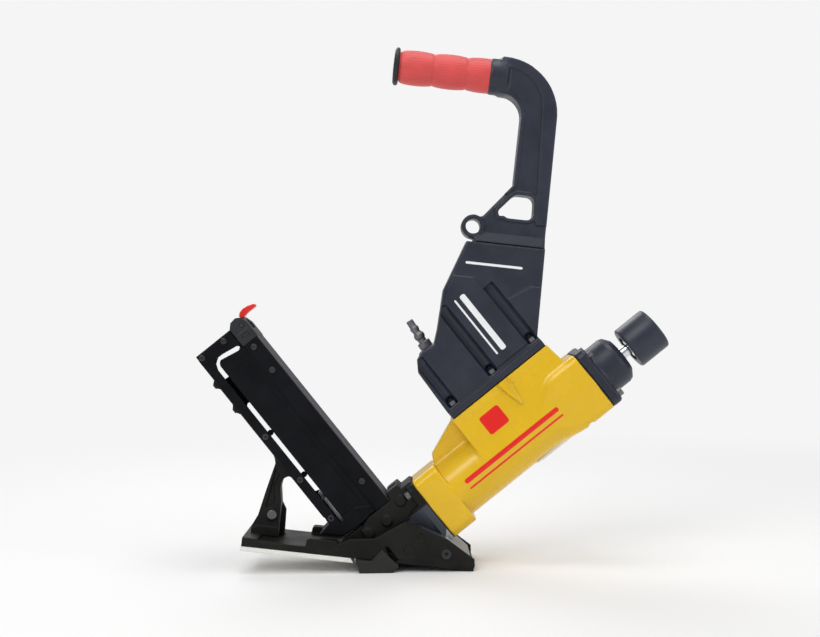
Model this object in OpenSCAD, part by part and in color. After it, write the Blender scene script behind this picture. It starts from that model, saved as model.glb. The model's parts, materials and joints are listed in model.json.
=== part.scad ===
// Pneumatic flooring nailer, in millimetres.
//
// The tool is drawn in its own working frame, then leaned onto its feet:
//   tool frame   X towards the toe, Y across the boards, Z up from the underside of the shoe.
//                The nail leaves at the origin.
//   u            distance up the drive axis, which climbs towards the toe at 45 degrees
//   v            distance up the magazine, square to the drive axis
// drive() works along u with local axes [-v, y, u]; mag() works along v with [u, y, v].
// At rest the tool stands on the lip foot under the shoe and on the shoe's toe.

/* [Stance] */
// Lean of the tool towards its toe when it stands on the lip foot, in degrees
rest_lean = 7; // [5:0.5:9]
// Distance from the middle of the footprint to the toe's lower edge
toe_reach = 37.4; // [30:1:80]

/* [Shoe] */
// Width of the shoe
shoe_w = 84; // [80:1:92]
// Thickness of the shoe's sole plate
shoe_t = 7; // [6:0.5:9]
// Length of the shoe behind the nail exit
heel = 138; // [130:1:146]
// Length of the shoe ahead of the nail exit
toe = 104; // [100:1:110]
// Thickness of each cheek
cheek_t = 6; // [4:0.5:8]
// Thickness of the white sole pad
pad_t = 5; // [3:0.5:6]

/* [Drive] */
// Radius of the body casting's barrel
barrel_r = 32.8; // [31:0.1:34]
// Height of the nose flange up the drive axis
nose_u = 80; // [78:0.5:82]
// Height of the top of the body casting
head_u = 295; // [290:1:300]
// Bore radius of the cylinder sleeve
bore_r = 21.5; // [20:0.1:22]
// Piston stroke
stroke = 73; // [60:1:75]
// Travel of the strike cap
strike_travel = 9.5; // [8:0.5:9.5]
// Radius of the strike cap
strike_r = 24; // [22:0.5:26]

/* [Magazine] */
// Depth of the magazine across the tool
mag_d = 44; // [42:1:46]
// Wall of the magazine covers
mag_wall = 3; // [2:0.25:4]
// Height of the magazine's top end
mag_top = 281; // [275:1:285]
// Width of the pusher slot
slot_w = 4.6; // [4.4:0.1:5]
// Travel of the pusher
pusher_travel = 160; // [120:1:162]

/* [Handle] */
// Depth of the air chamber housing
housing_d = 52; // [48:1:56]
// Depth of the arm
arm_d = 28; // [24:1:32]
// Height of the grip's centre line
grip_z = 519.5; // [515:0.5:524]
// Radius of the grip at its bulges
grip_r = 18.5; // [17:0.5:20]
// Radius of the hole in the hanging eye
eye_r = 7.8; // [7:0.1:8.5]

/* [Hidden] */
$fn = 64;

gap = 0.3;           // between bodies that move past each other
run = 0.08;          // radial clearance of a sliding fit
hw = shoe_w / 2;
mw = mag_d / 2;
dw = housing_d / 2;
aw = arm_d / 2;

gasket_t = 1;
bumper_top = nose_u + 26;
piston_u = bumper_top + gap + stroke;
piston_l = 20;
sleeve_top = piston_u + piston_l + 12;
sleeve_r = bore_r + 3;
valve_bore = 27.5;
valve_u = sleeve_top + gap;
valve_l = 24;
cap_u = head_u + gasket_t;
cap_flange = 11;
cap_r = 28.5;
cap_top = head_u + 43;
strike_u = cap_top + strike_travel;
strike_l = 37;
plunger_r = 6.5;
plunger_low = valve_u + 50;
guide_u = cap_u + 1;
flange_v = 60.3;
bolt_r = 3;
head_pitch = 25.4;
nose_pitch = [28, 25];

nail_l = 50;
u_low = -15;
u_high = 50;
mag_low = 36;
slot_u = -3;
slot_low = 50;
pusher_low = 47;
pusher_l = 41;
slot_high = pusher_low + pusher_l + pusher_travel + 4;
latch_low = 258;
latch_u = 31;
lever_at = [44, 277];

screw_u = [165.3, 218.5, 272];
groove_top = [132, 160, 148];
screw_v = 77;
groove_y = dw - 3.5;
grip_end = -30;
grip_root = 79;
eye_at = [66.3, 357.6];
inlet_at = [31.5, 224.5];
inlet_turn = -40;
strut_bolt_at = [-112.6, 30.5];
cheek_bolt_at = [74.2, 15];

// ---------- placing ----------

module tool() translate([toe_reach, 0, 0]) rotate([0, rest_lean, 0]) translate([-toe, 0, 0]) children();
module drive() tool() rotate([0, 45, 0]) children();
module mag() tool() rotate([0, -45, 0]) children();
// Extrudes a side outline drawn in [X, Z] from y0 to y1
module span(y0, y1) translate([0, y1, 0]) rotate([90, 0, 0]) linear_extrude(y1 - y0) children();
module across(w) span(-w, w) children();
// Turns an outline drawn in [u, v] into [X, Z]
module uv() rotate(45) children();
module at_u(u) translate([0, 0, u]) children();
module both() { children(); mirror([0, 1, 0]) children(); }
module corners(p) for (a = [-1, 1], b = [-1, 1]) translate([a * p[0], b * p[1], 0]) children();

// ---------- shared shapes ----------

module rounded(w, h, r) {
    square([w - 2 * r, h], center = true);
    square([w, h - 2 * r], center = true);
    corners([w / 2 - r, h / 2 - r]) circle(r);
}
module ring(r_out, r_in, l) difference() {
    cylinder(r = r_out, h = l);
    translate([0, 0, -1]) cylinder(r = r_in, h = l + 2);
}
module o_ring(r_mid, r_cord) rotate_extrude() translate([r_mid, 0]) circle(r_cord, $fn = 24);
// Socket-head screw: head up from z = 0, shank down; head is its height over the shank's radius
module cap_screw(r, l, head = 2) difference() {
    union() {
        cylinder(r = 1.65 * r, h = head * r);
        translate([0, 0, -l]) cylinder(r = r, h = l);
    }
    translate([0, 0, head * r / 2]) cylinder(r = 0.95 * r, h = head * r, $fn = 6);
}
function arc(c, r, a0, a1, n = 12) = [
    for (i = [0:n]) let (a = a0 + (a1 - a0) * i / n) [c[0] + r * cos(a), c[1] + r * sin(a)]
];

// ---------- body casting ----------

module barrel_outer() {
    at_u(nose_u) linear_extrude(27.5) rounded(73, 66, 10);
    at_u(nose_u) cylinder(r = barrel_r, h = head_u - nose_u, $fn = 96);
    at_u(263) linear_extrude(head_u - 263) rounded(69, 68, 9);
}
module pedestal_outline() polygon([[153, 0], [153, flange_v], [280, flange_v], [283.5, 33], [283.5, 0]]);
module web_outline() polygon([[109, 0], [109, 35.5], [114, 44.5], [154, flange_v], [154, 0]]);
module body_casting() color([0.89, 0.73, 0.05]) difference() {
    union() {
        drive() barrel_outer();
        tool() across(dw) uv() pedestal_outline();
        tool() across(9) uv() web_outline();
    }
    drive() {
        at_u(nose_u - 1) cylinder(r = sleeve_r + 0.1, h = 60);
        at_u(nose_u + 14) cylinder(r = valve_bore + 0.5, h = sleeve_top - nose_u - 22);
        at_u(sleeve_top - 20) cylinder(r = sleeve_r + 0.1, h = 40);
        at_u(sleeve_top) cylinder(r = valve_bore, h = head_u - sleeve_top + 1);
        at_u(nose_u - 1) corners(nose_pitch) cylinder(r = bolt_r + 0.2, h = 19);
        at_u(head_u - 18) corners([head_pitch, head_pitch]) cylinder(r = bolt_r + 0.2, h = 19);
    }
    tool() across(14) uv() translate([178, 20]) square([84, 60]);
    mag() both() for (u = screw_u) translate([u, 20, 40]) cylinder(r = 2.7, h = 40);
}

module cylinder_sleeve() color("silver") drive() difference() {
    at_u(nose_u) cylinder(r = sleeve_r, h = sleeve_top - nose_u, $fn = 96);
    at_u(nose_u - 1) cylinder(r = bore_r, h = sleeve_top - nose_u + 2, $fn = 96);
    for (u = [nose_u + 7, sleeve_top - 4]) at_u(u - 1.5) ring(sleeve_r + 1, sleeve_r - 1.5, 3);
    at_u(sleeve_top - 14) for (a = [0:45:315]) rotate(a) translate([bore_r - 1, 0, 0])
        rotate([0, 90, 0]) cylinder(r = 1.2, h = 6);
}
module sleeve_o_rings() color("dimgray") drive()
    for (u = [nose_u + 7, sleeve_top - 4]) at_u(u) o_ring(sleeve_r - 0.72, 0.78);
module bumper() color("darkslategray") drive() difference() {
    at_u(nose_u - gasket_t) union() {
        cylinder(r = bore_r - 0.2, h = 18);
        cylinder(r = bore_r - 3, h = bumper_top - nose_u + gasket_t);
    }
    at_u(nose_u - 2) cylinder(r = 9, h = 40);
}

// ---------- head ----------

module head_outline() difference() {
    rounded(68, 68, 9);
    circle(r = valve_bore - 3);
    corners([head_pitch, head_pitch]) circle(bolt_r + 0.2);
}
module head_gasket() color("black") drive() at_u(head_u) linear_extrude(gasket_t) head_outline();
module head_cap() color([0.10, 0.11, 0.15]) drive() difference() {
    union() {
        at_u(cap_u) linear_extrude(cap_flange) rounded(68, 68, 9);
        at_u(cap_u) rotate_extrude($fn = 96) polygon([
            [0, 0], [cap_r, 0], [cap_r, 33], [cap_r - 3, 38], [cap_r - 9, cap_top - cap_u],
            [0, cap_top - cap_u],
        ]);
    }
    at_u(cap_u - 1) cylinder(r = valve_bore - 5, h = 7);
    at_u(cap_u - 1) cylinder(r = 12, h = cap_top - cap_u - 5);
    at_u(cap_u) cylinder(r = plunger_r + 2, h = 60);
    at_u(cap_u - 1) corners([head_pitch, head_pitch]) cylinder(r = bolt_r + 0.2, h = 20);
}
module head_bolts() color("dimgray") drive()
    at_u(cap_u + cap_flange) corners([head_pitch, head_pitch]) cap_screw(bolt_r, 26);
module plunger_bushing() color("goldenrod") drive()
    at_u(cap_top - 6) ring(plunger_r + 2, plunger_r + run, 6);
module valve_guide() color("silver") drive()
    at_u(guide_u) ring(valve_bore - 5.1, plunger_r + run, 5);

module strike_cap() color([0.12, 0.13, 0.17]) drive() difference() {
    at_u(strike_u) rotate_extrude($fn = 96) polygon(concat(
        [[0, 0], [strike_r - 1, 0], [strike_r, 1]],
        arc([strike_r - 3, strike_l - 3], 3, 0, 90, 6), [[0, strike_l]]
    ));
    at_u(strike_u - 1) cylinder(r = plunger_r, h = 19);
    at_u(strike_u - 1) cylinder(r = 15, h = 8);
}
module plunger_shaft() color("silver") drive() {
    at_u(plunger_low) cylinder(r = plunger_r, h = strike_u + 18 - plunger_low);
    at_u(cap_top - 6 - gap - 4) cylinder(r = 10.5, h = 4);
}
module plunger_nut() color("silver") drive() at_u(strike_u + 1) difference() {
    cylinder(r = 11, h = 5.5, $fn = 6);
    translate([0, 0, -1]) cylinder(r = plunger_r, h = 8);
}
module plunger_spring() color("gray") drive()
    for (i = [0:5]) at_u(guide_u + 6.1 + 4.6 * i) o_ring(plunger_r + 2.7, 1);

module head_valve() color("gainsboro") drive() difference() {
    at_u(valve_u) union() {
        cylinder(r = valve_bore - run, h = valve_l, $fn = 96);
        cylinder(r = 9, h = valve_l + 8);
    }
    at_u(valve_u + 8) ring(valve_bore - 4, 11, valve_l);
    at_u(valve_u - 1) cylinder(r = 3, h = 60);
    for (u = [valve_u + 5, valve_u + 18]) at_u(u - 1.2) ring(valve_bore + 1, valve_bore - 2, 2.4);
}
module valve_o_rings() color("black") drive()
    for (u = [valve_u + 5, valve_u + 18]) at_u(u) o_ring(valve_bore - 1.1, 0.9);
module valve_spring() color("gray") drive()
    for (i = [0:8]) at_u(valve_u + 9.3 + 9.1 * i) o_ring(14.5, 1.2);

// ---------- piston ----------

module piston() color("silver") drive() difference() {
    at_u(piston_u) union() {
        cylinder(r = bore_r - run, h = piston_l, $fn = 96);
    }
    at_u(piston_u + 8.5) ring(bore_r + 1, bore_r - 2.1, 3.2);
    at_u(piston_u + 14) ring(bore_r - 4, 8, 10);
    at_u(piston_u - 1) ring(bore_r - 4, 8, 5);
    at_u(piston_u - 1) translate([-1.2, -6.5, 0]) cube([2.4, 13, 15]);
    at_u(piston_u + 7) rotate([0, 90, 0]) cylinder(r = 1.55, h = 60, center = true);
}
module piston_o_ring() color("black") drive() at_u(piston_u + 10.1) o_ring(bore_r - 1.15, 0.95);
module driver_blade() color("lightsteelblue") drive() difference() {
    at_u(stroke) translate([-1.1, -6.3, 0]) cube([2.2, 12.6, piston_u + 13.5 - stroke]);
    at_u(piston_u + 7) rotate([0, 90, 0]) cylinder(r = 1.55, h = 10, center = true);
}
module blade_pin() color("gray") drive()
    at_u(piston_u + 7) rotate([0, 90, 0]) cylinder(r = 1.5, h = 36, center = true);

// ---------- nose ----------

module nose_gasket() color("black") drive() at_u(nose_u - gasket_t) linear_extrude(gasket_t) difference() {
    rounded(73, 66, 10);
    circle(r = bore_r + 0.5);
    corners(nose_pitch) circle(bolt_r + 0.2);
}
module nose_casting() color([0.13, 0.13, 0.15]) difference() {
    union() {
        drive() at_u(nose_u - 9) linear_extrude(8) rounded(73, 66, 10);
        tool() across(24) difference() {
            uv() polygon([[-2, 36], [56, 36], [56, 44], [71, 34], [71, -30], [20, -60], [-40, -60], [-40, 36]]);
            translate([-200, -200]) square([400, 200 + shoe_t]);
        }
        tool() across(hw - cheek_t) translate([36, shoe_t]) polygon([
            [0, 0], [toe - 42, 0], [toe - 42, 4], [38, 22], [10, 30], [0, 26],
        ]);
    }
    drive() {
        at_u(-30) translate([-1.3, -6.5, 0]) cube([2.6, 13, 140]);
        at_u(14) translate([1.3, -10.1, 0]) cube([3.4, 20.2, 50.1]);
        at_u(nose_u - 30) cylinder(r = 7, h = 40);
        at_u(nose_u - 12) corners(nose_pitch) cylinder(r = bolt_r + 0.2, h = 20);
        at_u(nose_u - 39) corners(nose_pitch) cylinder(r = 5.6, h = 30);
    }
    mag() translate([-4, -6, 0]) cube([nail_l + 6, 12, 60]);
    mag() translate([-60, -30, mag_low]) cube([110.5, 60, 60]);
    tool() translate([cheek_bolt_at[0], 0, cheek_bolt_at[1]]) rotate([90, 0, 0])
        cylinder(r = 3.2, h = 200, center = true);
}
module nose_bolts() color("gray") drive()
    at_u(nose_u - 9) corners(nose_pitch) mirror([0, 0, 1]) cap_screw(bolt_r, 24);
module guide_plate() color("silver") drive() at_u(15) translate([1.6, -10, 0]) cube([3, 20, 49]);

// ---------- shoe ----------

module cheek_outline() difference() {
    polygon([
        [-39, shoe_t - 1], [-39, 12], [-28, 19], [-2, 22.5], [28.7, 43.7], [74.9, 29.2],
        [toe, 12], [toe, shoe_t - 1],
    ]);
    translate([10, 3]) rotate(-45) square([7, 20]);
}
module nail_exit() translate([1.5, 0, -30]) cylinder(r = 10, h = 60);
module base_shoe() color([0.15, 0.15, 0.14]) tool() difference() {
    union() {
        across(hw) polygon([[-heel, 0], [-heel, 9.5], [-heel + 17, 9.5], [-heel + 17, shoe_t],
            [toe, shoe_t], [toe, 0]]);
        both() span(-hw, -hw + cheek_t) cheek_outline();
        both() span(-hw, -hw + 14) translate([-71, shoe_t - 1]) square([32, 8.5]);
        span(10, 16) polygon([[-127, shoe_t - 1], [-99, shoe_t - 1], [-100, 34], [-105, 42],
            [-118, 42], [-124, 30]]);
    }
    strut_bolt_hole();
    nail_exit();
    for (x = [-126, -52], y = [-30, 30]) translate([x, y, -1]) cylinder(r = 2.2, h = 20);
    for (x = [-6, 18], y = [-30, 30]) translate([x, y, -1]) cylinder(r = 2.7, h = 10);
    both() translate([cheek_bolt_at[0], 0, cheek_bolt_at[1]]) rotate([90, 0, 0]) cylinder(r = 3.2, h = 60);
}
module cheek_bolts() color("gray") tool() both()
    translate([cheek_bolt_at[0], -hw, cheek_bolt_at[1]]) rotate([90, 0, 0])
        cap_screw(3, 22, 0.8);
module sole_pad() color([0.9, 0.9, 0.88]) tool() difference() {
    across(hw) polygon([[-heel - 1, -pad_t], [-heel - 1, -0], [-24, 0], [-20, -pad_t]]);
    for (x = [-126, -52], y = [-30, 30]) translate([x, y, -pad_t - 1]) {
        cylinder(r = 2.2, h = 20);
        cylinder(r = 4.4, h = 3.6);
    }
}
module sole_screws() color("silver") tool()
    for (x = [-126, -52], y = [-30, 30]) translate([x, y, -pad_t + 0.4]) {
        cylinder(r = 4.2, h = 2);
        cylinder(r = 2, h = pad_t + shoe_t - 1.5);
    }
// Underside of the foot lies in the floor plane, which runs from the toe's lower edge
function floor_z(x) = -(toe - x) * tan(rest_lean);
module lip_foot() color([0.14, 0.14, 0.13]) tool() difference() {
    union() {
        across(hw - 0.5) polygon([[-19, 0], [-13, floor_z(-13)], [21.5, floor_z(21.5)], [26, 0]]);
        both() span(-hw - 2, -hw - gap) polygon([[-13, floor_z(-13)], [21.5, floor_z(21.5)],
            [27, -3], [7.3, 13]]);
        both() span(-hw - 2, -hw + 4) polygon([[-13, floor_z(-13)], [21.5, floor_z(21.5)],
            [24, -1], [-17, -1]]);
    }
    nail_exit();
    for (x = [-6, 18], y = [-30, 30]) translate([x, y, -30]) {
        cylinder(r = 2.7, h = 60);
        cylinder(r = 4.6, h = 26);
    }
}
module lip_screws() color("silver") tool()
    for (x = [-6, 18], y = [-30, 30]) translate([x, y, -4]) mirror([0, 0, 1]) cap_screw(2.5, 9);

// ---------- magazine ----------

module cover_outline() polygon([
    [u_low, mag_low + 20], [-29, 54], [-12, 37.5], [2, mag_low], [u_high, mag_low], [u_high, latch_low],
    [latch_u, latch_low], [latch_u, mag_top], [u_low, mag_top],
]);
module cover_cavity() polygon([
    [u_low + mag_wall, mag_low + 8], [2, mag_low - 10], [u_high - mag_wall, mag_low - 10],
    [u_high - mag_wall, latch_low - mag_wall], [latch_u - mag_wall, latch_low - mag_wall],
    [latch_u - mag_wall, mag_top + 9], [u_low + mag_wall, mag_top + 9],
]);
// Straight slot with the parking hook at its top
module slot_outline() {
    translate([slot_u, slot_low]) circle(slot_w / 2, $fn = 32);
    translate([slot_u - slot_w / 2, slot_low]) square([slot_w, slot_high + 8 - slot_low]);
    polygon(concat(
        arc([slot_u + 9, slot_high + 4], 9 + slot_w / 2, 180, 108, 8),
        [[26, 263], [25, 258.4]],
        arc([slot_u + 9, slot_high + 4], 9 - slot_w / 2, 108, 180, 8)
    ));
    translate([25.5, 260.7]) circle(slot_w / 2, $fn = 32);
}
// Half cover on the near side
module cover() difference() {
    tool() union() {
        span(-mw, 0) uv() cover_outline();
        span(-mw - 1.2, -mw + 1) uv() polygon([
            [latch_u + 1, mag_low], [u_high, mag_low], [u_high, latch_low], [latch_u + 1, latch_low],
        ]);
    }
    tool() span(-mw + mag_wall, 1) uv() cover_cavity();
    tool() span(-mw + mag_wall, 1) uv() translate([36.4, latch_low - 10]) square([10.2, 20]);
    tool() span(-mw - 5, -mw + 8) uv() slot_outline();
    strut_screws_at() cylinder(r = 2, h = 30, center = true);
    mag_screws_at() cylinder(r = 2.2, h = 60, center = true);
    rail_screws_at() cylinder(r = 2.2, h = 90, center = true);
}
module magazine_cover_near() color([0.10, 0.10, 0.12]) cover();
// The far cover has a wide window, so the pin is guided by the near cover's slot
module magazine_cover_far() color([0.10, 0.10, 0.12]) difference() {
    mirror([0, 1, 0]) cover();
    tool() span(mw - 8, mw + 5) uv() polygon([
        [-11.7, 90], [-0.7, 86], [-0.7, 208], [-2.5, 210], [-9.9, 210], [-11.7, 208],
    ]);
    tool() span(mw - 8, mw + 5) uv() polygon([
        [-11.7, 246], [-0.7, 246], [2, 256], [24, 256], [28.3, 260], [26, 266], [20, 269], [-3, 269],
        [-9, 265], [-11.7, 258],
    ]);
}
module mag_screws_at() mag() for (p = [[18.8, 275.8], [-10, 275.8], [-10, 169.8], [-10, 111.6], [-10, 60]])
    translate([p[0], 0, p[1]]) rotate([90, 0, 0]) children();
module rail_screws_at() mag() for (v = [70, 220, 251]) translate([40, 0, v]) rotate([90, 0, 0]) children();
module magazine_screws() color("gray") {
    mag_screws_at() translate([0, 0, mw]) cap_screw(2, 2 * mw - 1, 0.8);
    rail_screws_at() translate([0, 0, mw + 1.2]) cap_screw(2, 2 * mw + 1, 0.8);
}
module magazine_rail() color("silver") difference() {
    tool() across(1.4) uv() polygon([[6, 8], [44, 8], [44, latch_low - 14], [6, latch_low - 14]]);
    rail_screws_at() cylinder(r = 2.2, h = 90, center = true);
}
module load_guide() color("lightgray") tool() span(-mw + mag_wall, -8) uv()
    polygon([[0, 210], [14, 210], [14, 250], [0, 250]]);
module latch_housing() color([0.12, 0.12, 0.14]) difference() {
    tool() union() {
        across(mw + 1.2) uv() polygon([
            [latch_u, latch_low], [u_high, latch_low], [u_high, 276], [48.5, 284], [43, 287],
            [36, 286], [latch_u, mag_top],
        ]);
        across(mw - mag_wall) uv() translate([36.5, latch_low - 13]) square([10, 14]);
    }
    tool() across(9) uv() polygon([[20, 261], [47, 261], [47, 268], [70, 268], [70, 300], [20, 300]]);
    rail_screws_at() cylinder(r = 2.2, h = 90, center = true);
    lever_axis() cylinder(r = 2.05, h = 80, center = true);
}
module lever_axis() mag() translate([lever_at[0], 0, lever_at[1]]) rotate([90, 0, 0]) children();
module end_plate() color([0.12, 0.12, 0.14]) tool() across(mw - mag_wall - 0.2) uv()
    polygon([[u_low + mag_wall + 0.2, mag_top - 3], [14, mag_top - 3], [14, mag_top], [u_low + mag_wall + 0.2, mag_top]]);
module lever_pin() color("silver") lever_axis() cylinder(r = 2, h = 2 * mw + 4, center = true);
module lever_spring() color("gray") lever_axis() for (y = [-8.6, 5.6]) translate([0, 0, y]) ring(3.6, 2.4, 3);
module nail_stop_lever() color("dimgray") difference() {
    tool() across(5) uv() union() {
        translate(lever_at) circle(4.6);
        polygon([[39.7, 279], [39.7, 272], [38, 263.5], [40, 263], [44.5, 272.7], [48.3, 276],
            [49.2, 283.2], [46.2, 285.4]]);
    }
    lever_axis() cylinder(r = 2 + run, h = 80, center = true);
}
module lever_tip() color("red") tool() across(6) uv()
    polygon([[49.2, 283.2], [46.2, 285.4], [45.6, 287.6], [49, 290.4], [54, 291.4], [60, 290.6],
        [66, 288.4], [67, 286.6], [65.6, 285.2], [60, 286], [55, 286.2], [51.4, 285.2]]);

module pusher() color("silver") difference() {
    tool() span(-5, 16) uv() polygon([
        [-6.5, pusher_low], [35, pusher_low], [35, pusher_low + pusher_l], [-6.5, pusher_low + pusher_l],
    ]);
    tool() across(1.4 + gap) uv() translate([5.5, 0]) square([60, 200]);
    pusher_pin_at() cylinder(r = 1.9, h = 60, center = true);
    coil_at() cylinder(r = 9.5, h = 11.6);
}
module coil_at() mag() translate([18, 16.1, pusher_low + 22]) rotate([90, 0, 0]) children();
module pusher_coil() color("lightsteelblue") coil_at() translate([0, 0, 0.2]) ring(9.2, 4, 11);
module pusher_pin_at() mag() translate([slot_u, 0, pusher_low + pusher_l - 6]) rotate([-90, 0, 0]) children();
module pusher_knob() color([0.1, 0.1, 0.1]) pusher_pin_at() {
    translate([0, 0, 0.5 - mw]) cylinder(r = 1.88, h = 2 * mw + 5.5);
    translate([0, 0, mw + 2]) cylinder(r = 6, h = 11);
}

// ---------- strut ----------

module strut_bolt_hole() translate([strut_bolt_at[0], 0, strut_bolt_at[1]]) rotate([90, 0, 0])
    cylinder(r = 3.2, h = 60, center = true);

module strut_outline() polygon(concat(
    [[-118, 96.3], [-114.5, 84], [-122, 55], [-127.7, 28], [-133, 17], [-133, 9.5], [-heel + 17, 9.5],
        [-heel + 17, shoe_t], [-104, shoe_t], [-104, 44], [-106.6, 60]],
    arc([-97.6, 63.4], 9, 170, 60, 8),
    [[-84, 64]]
));
module strut_pad_outline() polygon([
    [u_low, 64], [u_low - 2.5, 64], [u_low - 2.5, 205], [u_low - 5, 209], [u_low - 5, 215],
    [u_low - 2.5, 218], [u_low - 2.5, 239], [u_low - 5, 242], [u_low - 5, 248], [u_low, 252],
]);
module strut_screws_at() mag() for (v = [212, 245], y = [-7, 7])
    translate([u_low - 5, y, v]) rotate([0, -90, 0]) children();
module magazine_strut() color([0.12, 0.12, 0.13]) difference() {
    tool() union() {
        across(10) difference() {
            strut_outline();
            uv() translate([u_low, 0]) square([90, 300]);
        }
        across(12) uv() strut_pad_outline();
    }
    tool() strut_bolt_hole();
    strut_screws_at() cylinder(r = 2, h = 20, center = true);
}
module strut_screws() color("gray") strut_screws_at() cap_screw(1.8, 7, 0.8);
module strut_bolt() color("gray") tool()
    translate([strut_bolt_at[0], -10, strut_bolt_at[1]]) rotate([90, 0, 0]) cap_screw(3, 33, 1);
module strut_nut() color("gray") tool() translate([strut_bolt_at[0], 22, strut_bolt_at[1]])
    rotate([90, 0, 0]) difference() {
        cylinder(r = 6, h = 6, $fn = 6);
        translate([0, 0, -1]) cylinder(r = 3.1, h = 8);
    }

// ---------- handle ----------

bend_o = 60;
bend_i = 23.5;
arm_x = 142.5;
arm_in = 104.5;
grip_hi = grip_z + 20;
grip_lo = grip_z - 18.5;
crease_z = 341;

module arm_outline() difference() {
    union() {
        polygon(concat(
            [[66, 330], [144, 330]],
            arc([arm_x - bend_o, grip_hi - bend_o], bend_o, 0, 90, 16),
            [[grip_root, grip_hi], [grip_root, grip_lo]],
            arc([arm_in - bend_i, grip_lo - bend_i], bend_i, 90, 0, 10),
            [[arm_in, 406], [75, 369]]
        ));
        translate(eye_at) circle(12.3);
    }
    translate(eye_at) circle(eye_r);
    window_outline();
}
module window_outline() polygon(concat(
    arc([103.5, 378], 8, 225, 270, 4), arc([121, 377.5], 7.5, 270, 360, 6),
    arc([120.5, 388], 7.5, 0, 90, 6), arc([111, 386.5], 9, 90, 140, 4), arc([97, 375.5], 5.5, 140, 225, 5)
));
module housing_outline() polygon([
    [86, 171.5], [155, 240.5], [145.4, 249], [143.8, crease_z], [61, crease_z], [42.2, 287],
    [40.4, 244], [38.8, 229.7], [27.9, 221], [22.6, 209.7], [25.1, 197], [59.3, 159.8], [67, 152.5],
]);
module chamber_outline() polygon([
    [72, 165], [146, 239], [139, 249], [137.5, crease_z - 6], [67, crease_z - 6], [48.5, 286],
    [46.6, 240], [40, 215], [31, 205], [64, 168],
]);
module handle_gasket() color("black") difference() {
    tool() across(dw - 1) uv() polygon([[156, flange_v], [279, flange_v], [279, flange_v + gasket_t], [156, flange_v + gasket_t]]);
    tool() across(14) uv() translate([178, 20]) square([84, 60]);
    mag() both() for (u = screw_u) translate([u, 20, 40]) cylinder(r = 2.7, h = 40);
}
module handle_housing() color([0.10, 0.11, 0.15]) difference() {
    tool() union() {
        across(dw) housing_outline();
        across(aw) arm_outline();
        translate([grip_end - 4, 0, grip_z]) rotate([0, 90, 0]) cylinder(r = 12, h = grip_root - grip_end + 5);
    }
    tool() across(200) difference() {
        uv() translate([100, flange_v + gasket_t - 100]) square([240, 100]);
    }
    difference() {
        tool() across(dw - 4) difference() {
            chamber_outline();
            uv() translate([100, flange_v - 80]) square([240, 80 + 8]);
        }
        mag() both() for (i = [0:2])
            translate([screw_u[i], groove_y, 40]) cylinder(r = 8, h = groove_top[i] - 34);
    }
    tool() across(14) uv() translate([178, 20]) square([84, 80]);
    tool() across(aw - 6) polygon([[136.5, 400], [136.5, 486], [124, 486], [111, 474], [111, 412]]);
    tool() translate([grip_end - 5, 0, grip_z]) rotate([0, 90, 0]) cylinder(r = 8, h = 126);
    mag() both() for (i = [0:2]) translate([screw_u[i], 0, 0]) {
        translate([0, 20, 40]) cylinder(r = 2.7, h = 60);
        translate([0, 20, screw_v - 5]) cylinder(r = 4.4, h = 8);
        translate([0, groove_y, screw_v - 5]) cylinder(r = 5.4, h = groove_top[i] - screw_v + 5);
    }
    inlet() translate([0, 0, -30]) cylinder(r = 6.4, h = 60);
}
module inlet() tool() translate([inlet_at[0], 0, inlet_at[1]]) rotate([0, inlet_turn, 0]) children();
module housing_screws() color("gray") mag() both()
    for (u = screw_u) translate([u, 20, screw_v - 5]) cap_screw(2.5, 22);
module grip_sleeve() color([0.87, 0.31, 0.31]) tool() translate([grip_end, 0, grip_z]) rotate([0, 90, 0])
    difference() {
        rotate_extrude() polygon(concat(
            [[12.1, 0]], arc([10.5, 18.5], 19.4, -65, 65, 8), arc([10.5, 54.5], 19.4, -65, 65, 8),
            arc([10.5, 90.5], 19.4, -65, 65, 8), [[12.1, 108.8]]
        ));
        translate([0, 0, -20]) cylinder(r = 12.1, h = 200);
        translate([0, 0, 108.8]) cylinder(r = 40, h = 50);
        translate([0, 0, -50]) cylinder(r = 40, h = 50);
        translate([0, 0, -1]) ring(60, grip_r, 120);
    }
module grip_end_cap() color([0.1, 0.11, 0.13]) tool() translate([grip_end - 6, 0, grip_z]) rotate([0, 90, 0])
    difference() {
        union() {
            rotate_extrude() polygon([[0, 0], [18, 0], [20, 2], [20, 4], [18.5, 5.8], [0, 5.8]]);
            cylinder(r = 7.9, h = 18);
        }
        translate([0, 0, 1.8]) ring(12.3, 7.9, 10);
    }

// ---------- air ----------

module air_plug() color("silver") inlet() difference() {
    union() {
        translate([0, 0, -16]) cylinder(r = 6.3, h = 16);
        cylinder(r = 7.5, h = 7, $fn = 6);
        rotate_extrude() polygon([[0, 6], [4.5, 6], [4.5, 11], [5.9, 13], [5.9, 16], [4.1, 19], [4.1, 21],
            [4.9, 23], [4.9, 24.5], [3.95, 26], [3.95, 34], [0, 34]]);
    }
    translate([0, 0, -17]) cylinder(r = 2.6, h = 60);
}
module inlet_screen() color("gold") inlet() translate([0, 0, -24]) difference() {
    cylinder(r = 6.3, h = 7.5);
    translate([0, 0, -1]) cylinder(r = 5, h = 7.5);
}
module exhaust_deflector() color([0.8, 0.8, 0.8]) drive() difference() {
    at_u(197) intersection() {
        cylinder(r = barrel_r + 1.5, h = 52, $fn = 96);
        translate([20, -13, 0]) cube([20, 26, 52]);
    }
    at_u(190) cylinder(r = barrel_r, h = 70, $fn = 96);
}

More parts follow.
